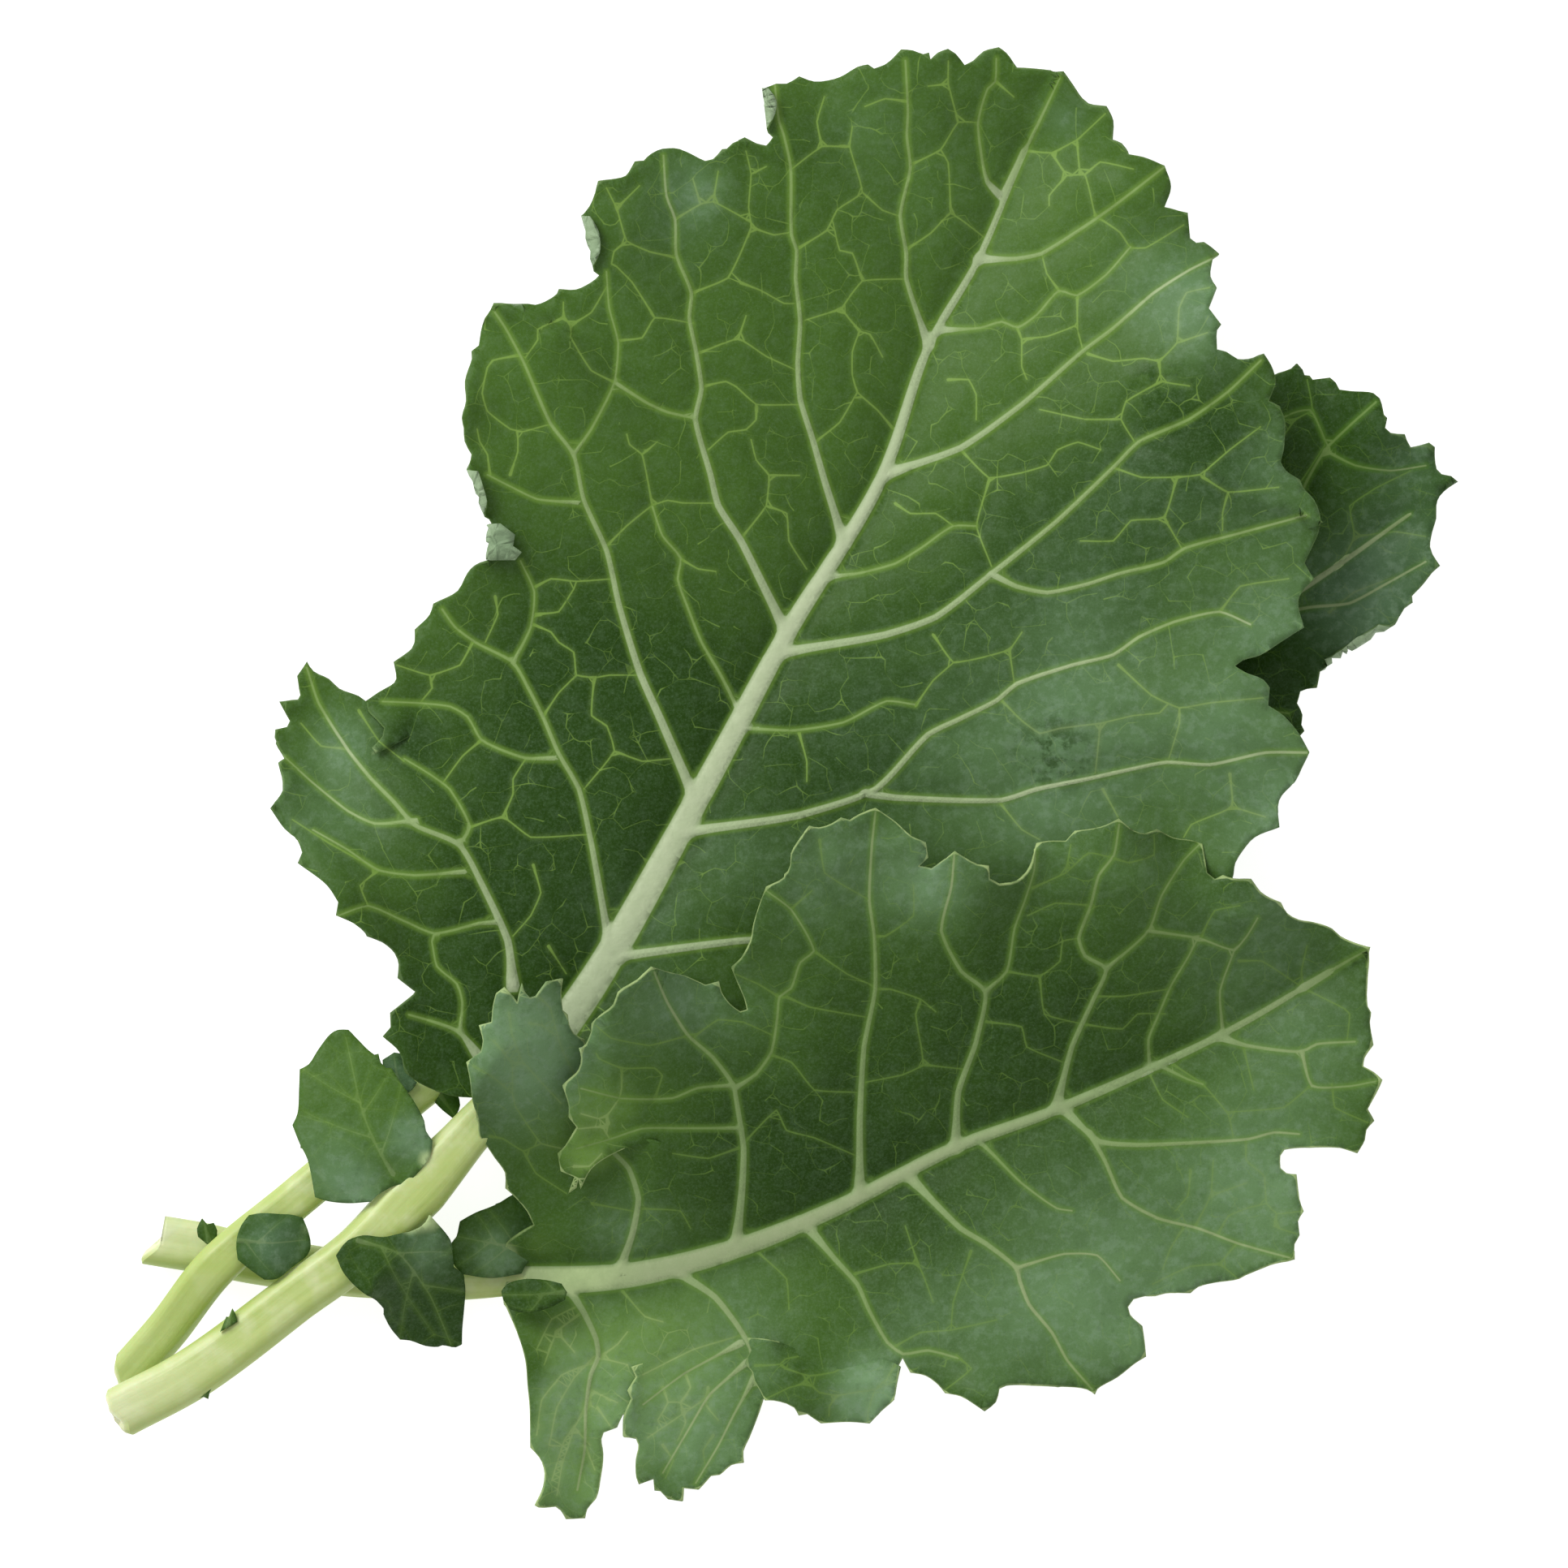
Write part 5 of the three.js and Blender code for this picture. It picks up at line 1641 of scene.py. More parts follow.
LARGE_LINKS = courses(
    (-52.5, 84.5, -57.5, 83.5, -58.5, 82, -59.5, 77, -58.5, 73.5, -54, 70, -51.5, 69.5, -46, 71),
    (-58, 61, -58.5, 65, -60, 67.5, -60.5, 70), (-54, 61, -52.5, 65.5, -52.5, 69.5), (-35, 47, -31, 51,
    -26, 55, -23, 56, -20, 55.5, -13.5, 55.5), (-26, 55, -28, 65, -30.5, 67, -31, 69), (-28, 65,
    -25, 67.5), (-20.5, 44.5, -17, 42.5, -13.5, 42), (-33, 79, -38, 81.5, -42, 88, -42, 90.5, -43.5, 92,
    -43.5, 95), (-43.5, 92, -48.5, 89.5, -48.5, 87.5, -51, 84), (-42, 90.5, -38, 93, -35, 98),
    (-32.5, 87.5, -28, 88, -25.5, 92, -18, 91), (-25.5, 92, -30, 99, -33, 102), (-21.5, 104, -26.5, 105,
    -31, 107, -33, 113.5, -35, 117.5), (-31, 107, -33.5, 105, -34, 102.5), (-33, 113.5, -28.5, 118),
    (-21.5, 111.5, -16.5, 114.5, -14, 115, -6.5, 111), (-14, 115, -13, 121), (-16.5, 114.5, -18, 119.5),
    (-18, 97, -11, 100, -6.5, 110, -7, 114, -6.5, 120.5, -7.5, 125), (-6.5, 110, -2, 108.5, 1, 109),
    (-6.5, 120.5, -3.5, 122), (-8.5, 99, -4.5, 97.5, 0, 95, 2, 95), (-17, 85, -9, 88, -3.5, 84.5, 2, 82),
    (-9, 88, -7.5, 92.5), (-16, 78.5, -11.5, 79.5, -9.5, 78.5, -5.5, 75, 3, 75), (-5.5, 75, -5.5, 72,
    -7.5, 70, -11, 69.5, -15, 66), (-8.5, 48.5, -3.5, 55, -3, 61, -5.5, 64, -6.5, 68), (-3.5, 55,
    0.5, 53.5, 1, 48, 4.5, 42.5), (-3, 61, 3, 61), (6, 67.5, 11, 71.5, 14.5, 77.5), (21.5, 70.5, 18.5, 74,
    14.5, 77.5, 13.5, 81, 13.5, 85.5, 15, 89.5, 17, 89, 19.5, 84.5), (15, 89.5, 11.5, 94, 15.5, 99.5,
    24, 100), (11.5, 94, 3.5, 91.5), (15.5, 99.5, 13.5, 105, 11, 105.5, 10, 109.5), (3, 106, 8.5, 109.5,
    10.5, 113.5, 15.5, 117, 13, 126, 13.5, 130), (15.5, 117, 19.5, 113.5, 22.5, 112.5), (13, 126,
    7.5, 126, 1.5, 121.5), (7.5, 126, 6.5, 131, 8, 136), (24.5, 106, 29, 109, 33, 113, 39.5, 108.5),
    (33, 113, 32.5, 123, 31, 125.5), (25, 122.5, 31, 125.5, 34.5, 131, 38.5, 131), (34.5, 131,
    32.5, 138.5, 32.5, 143), (32.5, 138.5, 28.5, 138), (42, 139, 45.5, 136), (24, 135, 20, 135.5,
    16, 134), (48, 125.5, 53, 125, 58, 127.5, 63.5, 132.5), (53, 125, 56, 120.5, 59.5, 120.5,
    61.5, 112.5), (58, 127.5, 58.5, 120.5), (59.5, 120.5, 62.5, 123, 69, 121.5), (56, 120.5, 52.5, 116.5,
    52.5, 114.5), (61.5, 112.5, 66.5, 109, 68.5, 106, 71.5, 106, 79, 110.5), (54.5, 97.5, 52, 101,
    51, 105), (58, 96.5, 58, 90, 59, 86), (46, 90.5, 47, 88, 47, 82.5, 48, 80), (47, 88, 52, 88.5,
    57.5, 90.5), (60, 85, 65, 83.5, 71, 84, 74, 83.5, 77.5, 87, 78, 94, 79.5, 97, 84, 98), (77.5, 87,
    83.5, 89), (74, 83.5, 74.5, 79.5, 80, 78.5), (74.5, 79.5, 67.5, 75.5, 66.5, 72, 69.5, 67), (66.5, 72,
    59.5, 72, 50.5, 74), (35, 66, 40.5, 60.5, 47, 61.5, 52, 63, 54, 66, 58, 67.5, 62.5, 66), (40.5, 60,
    38, 51, 41, 43), (22, 55.5, 25, 53.5, 30, 53.5, 33.5, 51), (65, 62.5, 70.5, 60.5, 77.5, 60.5, 82, 61,
    88, 66, 94, 70.5), (82.5, 60.5, 87.5, 57.5, 97.5, 58.5), (87.5, 57.5, 86.5, 53.5, 86.5, 50),
    (77.5, 60.5, 75, 52.5, 68.5, 52, 65, 48, 58.5, 48), (75, 52.5, 78.5, 46.5), (32.5, 80, 36.5, 80,
    38, 77, 38, 72), (86, 34, 90, 39, 99.5, 40.5), (29.5, 29.5, 33.5, 24, 44.5, 26.5, 47, 30),
    (44.5, 26.5, 45.5, 20), (26, 15.5, 29.5, 20.5, 33.5, 24), (3, 10, 4.5, 4.5, 4.5, 0.5), (43, 16.5,
    47, 12.5, 50.5, 10, 54.5, 11, 62.5, 12, 69, 13.5, 74, 14), (66, 23.5, 72.5, 17.5, 78, 15, 84, 16,
    94.5, 17), (78, 15, 78, 12, 76, 5), (62.5, 12, 61.5, 2), (42.5, -3.5, 47, -9, 50.5, -11), (63, -1,
    66, -6.5), (88, 2, 88.5, -4.5, 80.5, -8, 79, -10.5), (88.5, -4.5, 95, -6.5), (-49, 39, -46, 40.5,
    -41, 40, -34, 40.5), (-49.5, 31.5, -46, 30, -44.5, 28, -41.5, 26, -41, 21.5, -37.5, 21, -34.5, 21.5,
    -28, 21.5), (-47.5, 13.5, -44.5, 18, -41, 21.5), (-37.5, 21, -38, 13.5, -35, 11.5, -33.5, 6.5,
    -39.5, -1), (-33.5, 6.5, -28, 4.5, -22.5, 5), (-60, 8.5, -63.5, 5.5, -67.5, 0), (-62, -8.5,
    -55.5, -6.5, -50, -10.5, -39, -10), (-55.5, -6.5, -53.5, -2, -53.5, 1, -51, 5), (-49.5, -16,
    -48, -21.5, -50, -26, -53.5, -30), (-80, -17, -90, -11.5, -97, -7), (-80, -17, -83.5, -20, -82, -24),
    (-61.5, 28, -64, 23.5, -70, 21.5, -76.5, 23.5), (-70, 21.5, -69.5, 19, -72, 16), (-57, 37,
    -56.5, 33.5, -59, 28), (-49, 33.5, -44.5, 34, -41.5, 38.5), (-86.5, 7, -91.5, 7.5, -95.5, 12),
    (-84, 14.5, -80, 8.5, -75, 4.5), (-46.5, -32, -43, -37.5),
)
FRONT_LINKS = courses(
    (-37.5, -113.5, -41.5, -117.5, -45, -123.5, -46.5, -131), (-38, -120.5, -41.5, -127.5, -44, -135,
    -45, -141), (-40.5, -105, -45, -108.5, -47.5, -115), (-36.5, -113.5, -33, -111, -31, -108.5),
    (-37, -123.5, -34.5, -127), (-41.5, -127.5, -38.5, -131), (-45, -108.5, -41.5, -112.5), (-19.5, -117,
    -18.5, -119.5, -20.5, -122.5), (-24, -119.5, -23, -122.5, -25, -126), (-15, -119.5, -15.5, -123,
    -13, -126), (-20.5, -122.5, -19.5, -126.5, -21, -130), (-14, -129, -16, -132, -15.5, -135.5),
    (-24, -131, -22, -134, -23.5, -137.5), (1.5, -24.5, 5.5, -21), (6, -33, 12.5, -37.5, 18, -40),
    (-1, -42, -5, -39.5, -9.5, -37.5), (7, -11, 8, -17.5, 17, -23), (18, -30, 20, -30, 25.5, -26,
    25.5, -20), (0.5, -42, 5, -44, 16, -46), (18, -40.5, 21, -40.5, 27, -42.5, 30, -45), (27, -42.5,
    26, -45.5, 27.5, -55.5, 23.5, -57.5, 16, -59), (27.5, -55.5, 36, -56.5), (-2.5, -53.5, 1.5, -55,
    6, -60.5, 14.5, -61), (-8, -71, -1.5, -64.5, 0.5, -68.5, 6, -70, 14, -73.5), (44, -37, 50.5, -38,
    54.5, -35, 55, -31, 58, -30.5), (50.5, -38, 51.5, -45.5, 59, -47.5), (40, -47, 47, -48, 48, -52,
    55, -55), (64.5, -14.5, 68, -15.5, 73, -14, 73, -10), (49, -20.5, 55.5, -17.5, 60, -13.5,
    64.5, -14.5), (55.5, -17.5, 56.5, -12), (61, -24, 53.5, -23.5, 48, -26), (82.5, -30, 85, -25,
    90, -24), (59, -47.5, 67, -48.5, 70, -45.5, 75.5, -45.5), (61, -42, 67, -42, 76.5, -40.5), (90, -35,
    94.5, -35, 103, -40.5), (103, -40.5, 102.5, -37, 103.5, -32), (103, -40.5, 111, -44.5, 112, -45.5,
    111.5, -50.5), (104.5, -59.5, 99, -64, 88, -65), (72, -56.5, 75, -62.5, 80, -66), (77, -55.5,
    83, -59.5, 88, -65.5, 89, -70), (91, -52, 93, -60.5), (108.5, -59.5, 109, -64, 115.5, -67), (14, -97,
    21, -95, 26.5, -95, 29.5, -102.5), (26.5, -95, 24, -87.5), (37, -92.5, 33.5, -102.5, 33, -108),
    (21.5, -111.5, 27, -108.5, 33, -108, 42, -106), (34, -113, 37, -115.5, 31.5, -120), (-5.5, -92.5,
    0.5, -98, 1, -104), (-32, -100.5, -27.5, -105.5, -24, -106.5), (-8, -109, -18, -112, -28, -117),
    (-14.5, -121, -27, -129.5), (-37, -113.5, -31, -115), (-37.5, -114.5, -44, -117, -48, -122,
    -49, -129), (-38.5, -120, -33, -122.5), (-38.5, -123, -43.5, -130, -46, -138), (-40, -103, -46, -106,
    -49, -112), (-39.5, -131, -37.5, -136), (-18.5, -49.5, -26.5, -51.5, -34, -50, -37, -47.5), (-18, -50,
    -13, -46.5, -8, -47, -2.5, -49.5), (-25.5, -62, -24, -57.5, -25.5, -56, -32, -56, -36.5, -54,
    -37, -53), (-32, -56, -32, -60, -32.5, -62, -35, -65.5, -36.5, -66, -40, -65), (-35, -65.5,
    -34.5, -67, -35.5, -68, -34.5, -70), (-35, -67.5, -40.5, -68), (-41.5, -75.5, -38.5, -75.5, -36, -73),
    (-9, -72, -15, -74, -22, -73), (-38, -83, -30, -84.5), (-28.5, -84, -20.5, -84.5, -18.5, -88),
    (-61, -55.5, -57.5, -57.5, -53.5, -61, -53, -63.5, -48, -71, -44, -72), (-54, -45, -53.5, -49,
    -51.5, -54.5, -44, -63), (-48, -42, -46, -44, -44, -51.5, -41.5, -57), (-50, -47, -47.5, -47.5,
    -45, -49.5), (-57, -50.5, -53.5, -55, -53.5, -61), (-53.5, -55, -51.5, -55), (-58, -69.5, -55.5, -70,
    -51.5, -72.5, -48, -71), (-51.5, -72.5, -49, -77, -43, -81), (91.5, -70.5, 91.5, -74.5, 95, -77.5,
    95.5, -83, 97.5, -85, 102.5, -84.5), (97.5, -85, 97, -87.5, 101.5, -89), (81.5, -87.5, 84.5, -81.5,
    85, -74.5), (84.5, -81.5, 91.5, -79), (86, -89, 88, -85.5, 91.5, -84, 95.5, -83), (89.5, -91,
    86.5, -95, 90, -98), (86.5, -95, 80.5, -95.5, 77, -97, 73, -99), (80.5, -76.5, 80, -81.5,
    77.5, -84.5), (79, -88, 76.5, -92, 75, -96),
)
BACK_LINKS = courses(
    (97, 66, 101, 72, 104.5, 74, 103.5, 80), (104.5, 74, 107, 67.5), (98, 58, 102, 59.5, 107, 67),
    (101, 72, 97.5, 72), (110, 43, 113, 49, 112, 55, 117, 58.5, 124, 62), (113, 49, 121, 50, 127, 49),
    (108, 34, 113, 38, 121, 41),
)


@dataclass
class Leaf:
    """A leaf: its stem, which is also its midrib, and the blade around it."""

    name: str
    slot: Slot
    form: Form
    groove: Groove
    blade_from: float
    seed: int
    slant: float = 0.0
    tint: float = 0.0
    slim: float = 0.96
    longer: float = 0.0
    steps: int = 260
    narrowing: float = 0.36
    near: tuple[float, float] = (1.0, 5.0)  # a side vein starts this far off the midrib
    reach_back: float = 1.15

    def midrib(self) -> Numbers:
        """The midrib's course inside the blade.

        Returns:
            Rows of x, y and half width.
        """
        line = self.form.rib.line(self.steps)
        line = line[line[:, 4] > self.blade_from]
        share = (line[:, 4] - line[0, 4]) / (line[-1, 4] - line[0, 4])
        return np.column_stack([line[:, :2], line[:, 3] * (self.slim - self.narrowing * share)])

    def lines(self, veins: Iterable[Vein]) -> list[Numbers]:
        """The midrib and its side veins, which reach back to its middle.

        Args:
            veins: The side veins.

        Returns:
            Rows of x, y and half width for each line.
        """
        rib = self.midrib()
        made = [rib]
        for vein in veins:
            far = np.hypot(*(rib[:, :2] - np.array(vein.course[0])).T)
            at = int(far.argmin())
            if self.near[0] < far[at] < self.near[1]:
                start, ahead = np.array(vein.course[0]), np.array(vein.course[1])
                run = (start - ahead) / np.hypot(*(start - ahead))
                root = start + self.reach_back * far[at] * run
                vein = replace(vein, course=(tuple(root), *vein.course))
            made.append(vein.rows(PITCH))
        return made

    def stem(self) -> Stem:
        """The stem's piece."""
        name = f"{self.name}_stem"
        return Stem(f"{name}_and_rib", (name,), self.form.rib, self.groove, seed=self.seed,
                    slant=self.slant, tint=self.tint, longer=self.longer)


@dataclass(frozen=True)
class Leaflet:
    """A small leaflet on a stalk: its margin, its own vein and how its sides droop."""

    name: str
    slot: Slot
    margin: Course
    vein: tuple[tuple[float, float, float], ...]
    reach: float
    drop: float
    sides: int = 2
    cell: float = 7.5
    seed: int = 11
    light: float = 0.5
    # wax bloom under a painted sheen of the light, in soft patches
    bloom_and_sheen: tuple[Swell, ...] = ()
    pale: tuple[Swell, ...] = ()
    rib_steps: int = 12
    first: float = 0.18  # where the first side vein leaves, as a share of the middle one
    spacing: float = 0.26
    stagger: float = 0.1
    side_reach: float = 1.5
    ahead: float = 0.62
    aside: float = 0.78
    sweep: float = 0.2

    def height(self, at: Numbers) -> Numbers:
        """The leaflet's height.

        Args:
            at: Points seen from above.

        Returns:
            The height at each of them.
        """
        rib = Rib(tuple((x, y, z, 0.0) for x, y, z in self.vein), self.rib_steps)
        place = rib.nearest(at)
        return place.height - self.drop * (np.abs(place.off) / self.reach) ** 2

    def veins(self) -> list[Numbers]:
        """The middle vein and its side veins.

        Returns:
            Rows of x, y and half width for each vein.
        """
        course = tuple((x, y) for x, y, _ in self.vein)
        made = [Vein(course, 0.65, 0.3, 0.5).rows(PITCH)]
        path = made[0]
        for i in range(self.sides):
            for side in (-1, 1):
                later = self.stagger if side > 0 else 0
                at = int(len(path) * (self.first + self.spacing * i + later))
                if at + 1 >= len(path):
                    continue
                run = path[at + 1, :2] - path[at, :2]
                run /= np.hypot(*run)
                out = np.array([-run[1], run[0]]) * side
                reach = self.reach * self.side_reach
                spots = [path[at, :2] + (run * self.ahead * t + out * (self.aside * t)) * reach
                         + run * self.sweep * reach * t * t for t in (0, 0.33, 0.66, 1)]
                made.append(Vein(tuple(map(tuple, spots)), 0.3, 0.1, 0.2).rows(PITCH))
        return made

    def sheet(self) -> Sheet:
        """The leaflet's sheet.

        Returns:
            The sheet.
        """
        margin = trace(self.margin, LEAFLET_PITCH, True)
        layer = Layer(margin, margin, self.veins(), self.height, fill=1.1)
        return Sheet(
            self.name + "_sheet", (self.name,), self.slot, [layer],
            Net(self.cell, self.seed, width=0.02, snap=1.2), pillow=0.2, furrow=0.5, frill=0.3,
            frill_length=7, thickness=0.42, light=self.light, show=0.32, rim=False,
            bloom_and_sheen=self.bloom_and_sheen, pale=self.pale,
        )


LEAFLETS = (
    Leaflet("large_leaf_upper_leaflet", Slot.LARGE, xy(-76.2, -79, -80, -81, -81.5, -82.4, -86, -82.7,
        -90, -82.3, -92.5, -81.5, -94, -74, -95.5, -71, -97, -67.3, -96, -65, -95.7, -60, -95.6, -56.3,
        -93.8, -55.3, -92, -52.5, -89.5, -49.3, -88, -48.5, -86, -48.5, -84.5, -50, -82, -52.5,
        -80.8, -53.4, -80, -53.2, -79.5, -55, -78.5, -56, -77.5, -56, -75.5, -59, -73, -62.5,
        -70.9, -66.5, -70.6, -68.4, -69.3, -70.3, -69.8, -73.5, -72.5, -77, -74.6, -79),
        ((-77, -77, 18.8), (-80, -72, 20), (-83, -65, 19.4), (-86.5, -50, 15.5)), 12, 1.6, 2, 8, 21, 1.05,
        swells((-90, -74, 8, 0.6), (-84, -80, 5, 0.85), (-73, -70, 5, 1.0)), swells((-70.3, -74, 3, 0.9),
        (-75, -77.5, 1.8, 0.4))),
    Leaflet("large_leaf_lower_leaflet", Slot.LARGE, xy(-88, -92.5, -86, -90, -83, -89, -79, -89.3,
        -76.5, -88.8, -73, -88, -70.5, -86.5, -69.8, -85, -65.8, -90, -65.5, -92, -65.2, -95.5,
        -63.3, -97, -63, -100, -63.3, -104, -63.7, -108, -63.8, -111, -65, -111.6, -67.7, -111.2,
        -68.5, -111.5, -71, -111.3, -74, -110.2, -76, -110, -77.8, -107.7, -79, -105, -79, -103.8,
        -80.5, -102, -83, -100.3, -85, -98.5, -87, -96, -88.3, -93), ((-84, -90, 19.6),
        (-76, -92.5, 19.2), (-70, -101, 10.5), (-66, -111, 2.4)), 12, 1.0, 2, 8, 22, 0.2,
        swells((-70, -92, 6, 0.6)), swells((-70, -85.5, 4, 1.0), (-74.5, -87.5, 2.5, 0.6))),
    Leaflet("large_leaf_upper_bud", Slot.LARGE, xy(-111.2, -108, -110.4, -106, -110, -105, -109.4, -105.2,
        -108.8, -103.4, -108.2, -104.4, -107.8, -106), ((-109.8, -107.5, 18.6), (-109, -103.5, 18.2)), 3,
        0.3, 0, 6, 23, 0.6),
    Leaflet("large_leaf_lower_bud", Slot.LARGE, xy(-116.6, -118.6, -115.8, -120, -115.5, -121.3,
        -114.6, -120.9, -113.6, -121.4, -113.3, -120, -112.6, -118.6), ((-115, -118.5, 17.6),
        (-114.2, -121.4, 16)), 3, 0.3, 0, 6, 24, 0.6),
    Leaflet("front_leaf_basal_leaflet", Slot.FRONT, xy(-53.5, -81.2, -57, -83.3, -61, -84.8, -64, -86.5,
        -64.8, -89.5, -66, -91, -65.3, -95, -63.5, -97, -58, -97.8, -52, -97, -49.5, -91.5, -49.5, -86.5,
        -51.5, -82.2), ((-50.5, -92, 2.4), (-57, -91, 6.2), (-64.5, -89.5, 9)), 8, 0.8, 2, 7, 25, 0.5,
        swells((-56, -93, 6, 0.7)), swells((-58, -98, 3.2, 0.6))),
    Leaflet("front_leaf_curled_leaflet", Slot.FRONT, xy(-55.9, -100.3, -54.8, -98.9, -51.5, -97.9,
        -47, -98.1, -44, -98.8, -42.9, -100.5, -43.3, -102, -46.5, -103.6, -51, -104.6, -54, -104,
        -55.5, -102), ((-43.5, -100.5, 8.8), (-50, -101, 9.4), (-55.5, -101, 8.6)), 5, 0.9, 1, 6, 26,
        0.3),
    Leaflet("front_leaf_end_leaflet", Slot.FRONT, xy(-116, -87.8, -115, -85.8, -114, -87, -112.7, -86.7,
        -112, -88.3, -112.3, -90, -114, -91, -115.8, -89.5), ((-113.6, -90.4, 10.8), (-114.8, -86, 11.2)),
        3, 0.3, 0, 6, 27),
    Leaflet("back_leaf_round_leaflet", Slot.BACK, xy(-107, -87, -105.5, -85, -103, -84.6, -99.5, -84.8,
        -97, -85, -95, -85.6, -94, -88, -93.4, -91, -94, -92.9, -97, -95.3, -100, -97.6, -102.5, -97.8,
        -105.5, -95.6, -107.7, -93.8, -108, -90.5), ((-107.5, -90, 19.2), (-101, -90.5, 19.4),
        (-94.5, -90, 15.4)), 7, 1.6, 1, 7, 28, 0.75, swells((-100, -91, 7, 0.8)),
        swells((-94.5, -88, 3, 0.6), (-98, -84.3, 1.8, 0.5))),
    Leaflet("back_leaf_grey_leaflet", Slot.BACK, xy(-79.3, -54.5, -77, -53, -75.8, -53.2, -74.5, -57,
        -72.5, -59, -73.5, -60.5, -76, -62, -79, -61), ((-76, -61, 12.6), (-77, -54, 13)), 4, 0.4, 0, 6,
        29, 0.5, swells((-76, -58, 6, 0.9))),
    Leaflet("back_leaf_dark_leaflet", Slot.BACK, xy(-69, -63, -68, -61.3, -66, -60.8, -64.5, -61.3,
        -64, -63.5, -65.2, -66.3, -67.5, -64.5), ((-68, -61.4, 10.4), (-65.2, -65.4, 9.4)), 3, 0.3, 0, 6,
        30),
)

LARGE = Leaf(
    "large_leaf", Slot.LARGE, LARGE_FORM, Groove(stalk_end=88, rib_start=112),
    blade_from=84, seed=3, longer=1.4,
)
FRONT = Leaf(
    "front_leaf", Slot.FRONT, FRONT_FORM, Groove(stalk_end=56, rib_start=76),
    blade_from=60, seed=4, slant=0.65,
)
BACK = Leaf(
    "back_leaf", Slot.BACK, BACK_FORM, Groove(stalk_end=100, rib_start=120),
    blade_from=98, seed=5, slant=0.75, tint=1.0, slim=0.72, longer=3.4,
)

# the grey bloom colours stand for wax bloom under a painted sheen; the bright colours are mostly painted
# light
TOPS = {
    Slot.LARGE: BladeFinish(
        "large_blade_top", deep="24400b", fresh="426220", bright="5f8034", bloom_and_sheen="64845c",
        net="7b9b48", thin_vein="7b9655", side_vein="9bad82", midrib="b2bf9a",
        halo="6a8c36", edge="8aa56a",
    ),
    Slot.FRONT: BladeFinish(
        "front_blade_top", deep="243f0c", fresh="3f5f1f", bright="6a8d3c", bloom_and_sheen="6a8a60",
        net="67863c", thin_vein="728c50", side_vein="869d69", midrib="98a67c",
        halo="628436", edge="adc282", net_share=0.62, edge_share=0.75,
    ),
    Slot.BACK: BladeFinish(
        "back_blade_top", deep="203c06", fresh="37590f", bright="557628", bloom_and_sheen="557352",
        net="5f8036", thin_vein="678343", side_vein="88996c", midrib="98a67f",
        halo="4f7524", edge="86a060",
    ),
}
UNDERSIDE = UndersideFinish("blade_underside", ground="8ca27c", shade="7d9670", vein="b4c29c")
STEM_FINISH = StemFinish(
    "stem_flesh", stalk="b9c97c", stalk_shade="9ab04c", low_rib="a9b58f", mid_rib="9fae86",
    end_rib="8fa56b", cut="d9deb4",
)


@dataclass(frozen=True)
class Flap:
    """A piece of a blade that stands over the rest and dips into it at its far side."""

    leaf: Leaf
    free: Course
    hidden: Course
    rise: float
    reach: float
    links: tuple[Course, ...] = ()
    veins: tuple[Vein, ...] = ()
    dip: float = 0.4

    def layer(self) -> Layer:
        """The flap as a layer of the blade.

        Returns:
            The layer.
        """
        edge = trace(self.free, PITCH, False, True)
        far_side = trace((self.free[-1], *self.hidden, self.free[0]), PITCH)
        loop = np.vstack([edge[:-1], far_side[:-1]])
        cloud = Traces(np.column_stack([far_side[2:-2], np.zeros(len(far_side) - 4)]))

        def height(at: Numbers) -> Numbers:
            """The flap's height over the blade."""
            share = smoothstep(cloud.read(at)[0], 0, self.reach)
            return self.leaf.form.height(at) - self.dip + (self.rise + self.dip) * share

        links = [link(course) for course in self.links]
        return Layer(loop, edge, self.leaf.lines(self.veins), height, links=links)


LOWER_FLAP = Flap(
    FRONT, xy(-1, -110.3, -4, -109.7, -7.4, -109.5, -6.5, -112, -7.3, -113.4, -7.8, -114.7, -6.3, -116.3,
    -5.9, -118, -4.7, -120, -3.8, -121.9, -2, -121.9, 0.5, -122.5, 2, -123.3, 2.9, -124.9, 4.6, -124.6,
    7.3, -126.5, 13, -126.2, 16.9, -126.5, 19, -124.2, 21.8, -121.7, 22.2, -118.5, 22.8, -115),
    xy(20, -113.6, 14, -114.2, 8, -114, 3, -112), 2.6, 5, (xy(-5.7, -115, -0.7, -114.7, 0.3, -113.7,
    4, -113, 7, -113.4), xy(-0.7, -114.7, 0.3, -115.5, 5, -117, 10, -116.3, 13.6, -114.3, 20, -112),
    xy(5, -117, 3.7, -118.5, 1, -119.3, -3.5, -121.5), xy(3.7, -118.5, 5.6, -119, 7, -120.3, 10.5, -120.9,
    14, -120.3, 18, -119.7, 22.3, -117.8), xy(10.5, -120.9, 9, -123, 8.9, -125), xy(22, -114.8,
    20.3, -117.5, 18, -119.7, 16.7, -123.7, 16.5, -126)),
)
TEAR_FLAP = Flap(
    LARGE, xy(-82.4, 16.2, -82.1, 14.6, -80.5, 12.9, -78.9, 11.1, -79.2, 9.5, -81.3, 7.2, -80.6, 6,
    -78.3, 7, -75.8, 8.3, -72.9, 10), xy(-71, 12.5, -73, 16.5, -78, 17.6), 1.5, 6, veins=LARGE_VEINS,
)
SIDE_FLAP = Flap(
    FRONT, xy(-27.5, -114.6, -30.2, -115.4, -29.2, -117.4, -30.8, -120, -30.1, -121.8, -31.5, -125,
    -31.8, -129.3), xy(-26, -130, -19, -127, -18, -119, -21.5, -113.6), 0.9, 9, veins=FRONT_VEINS,
)


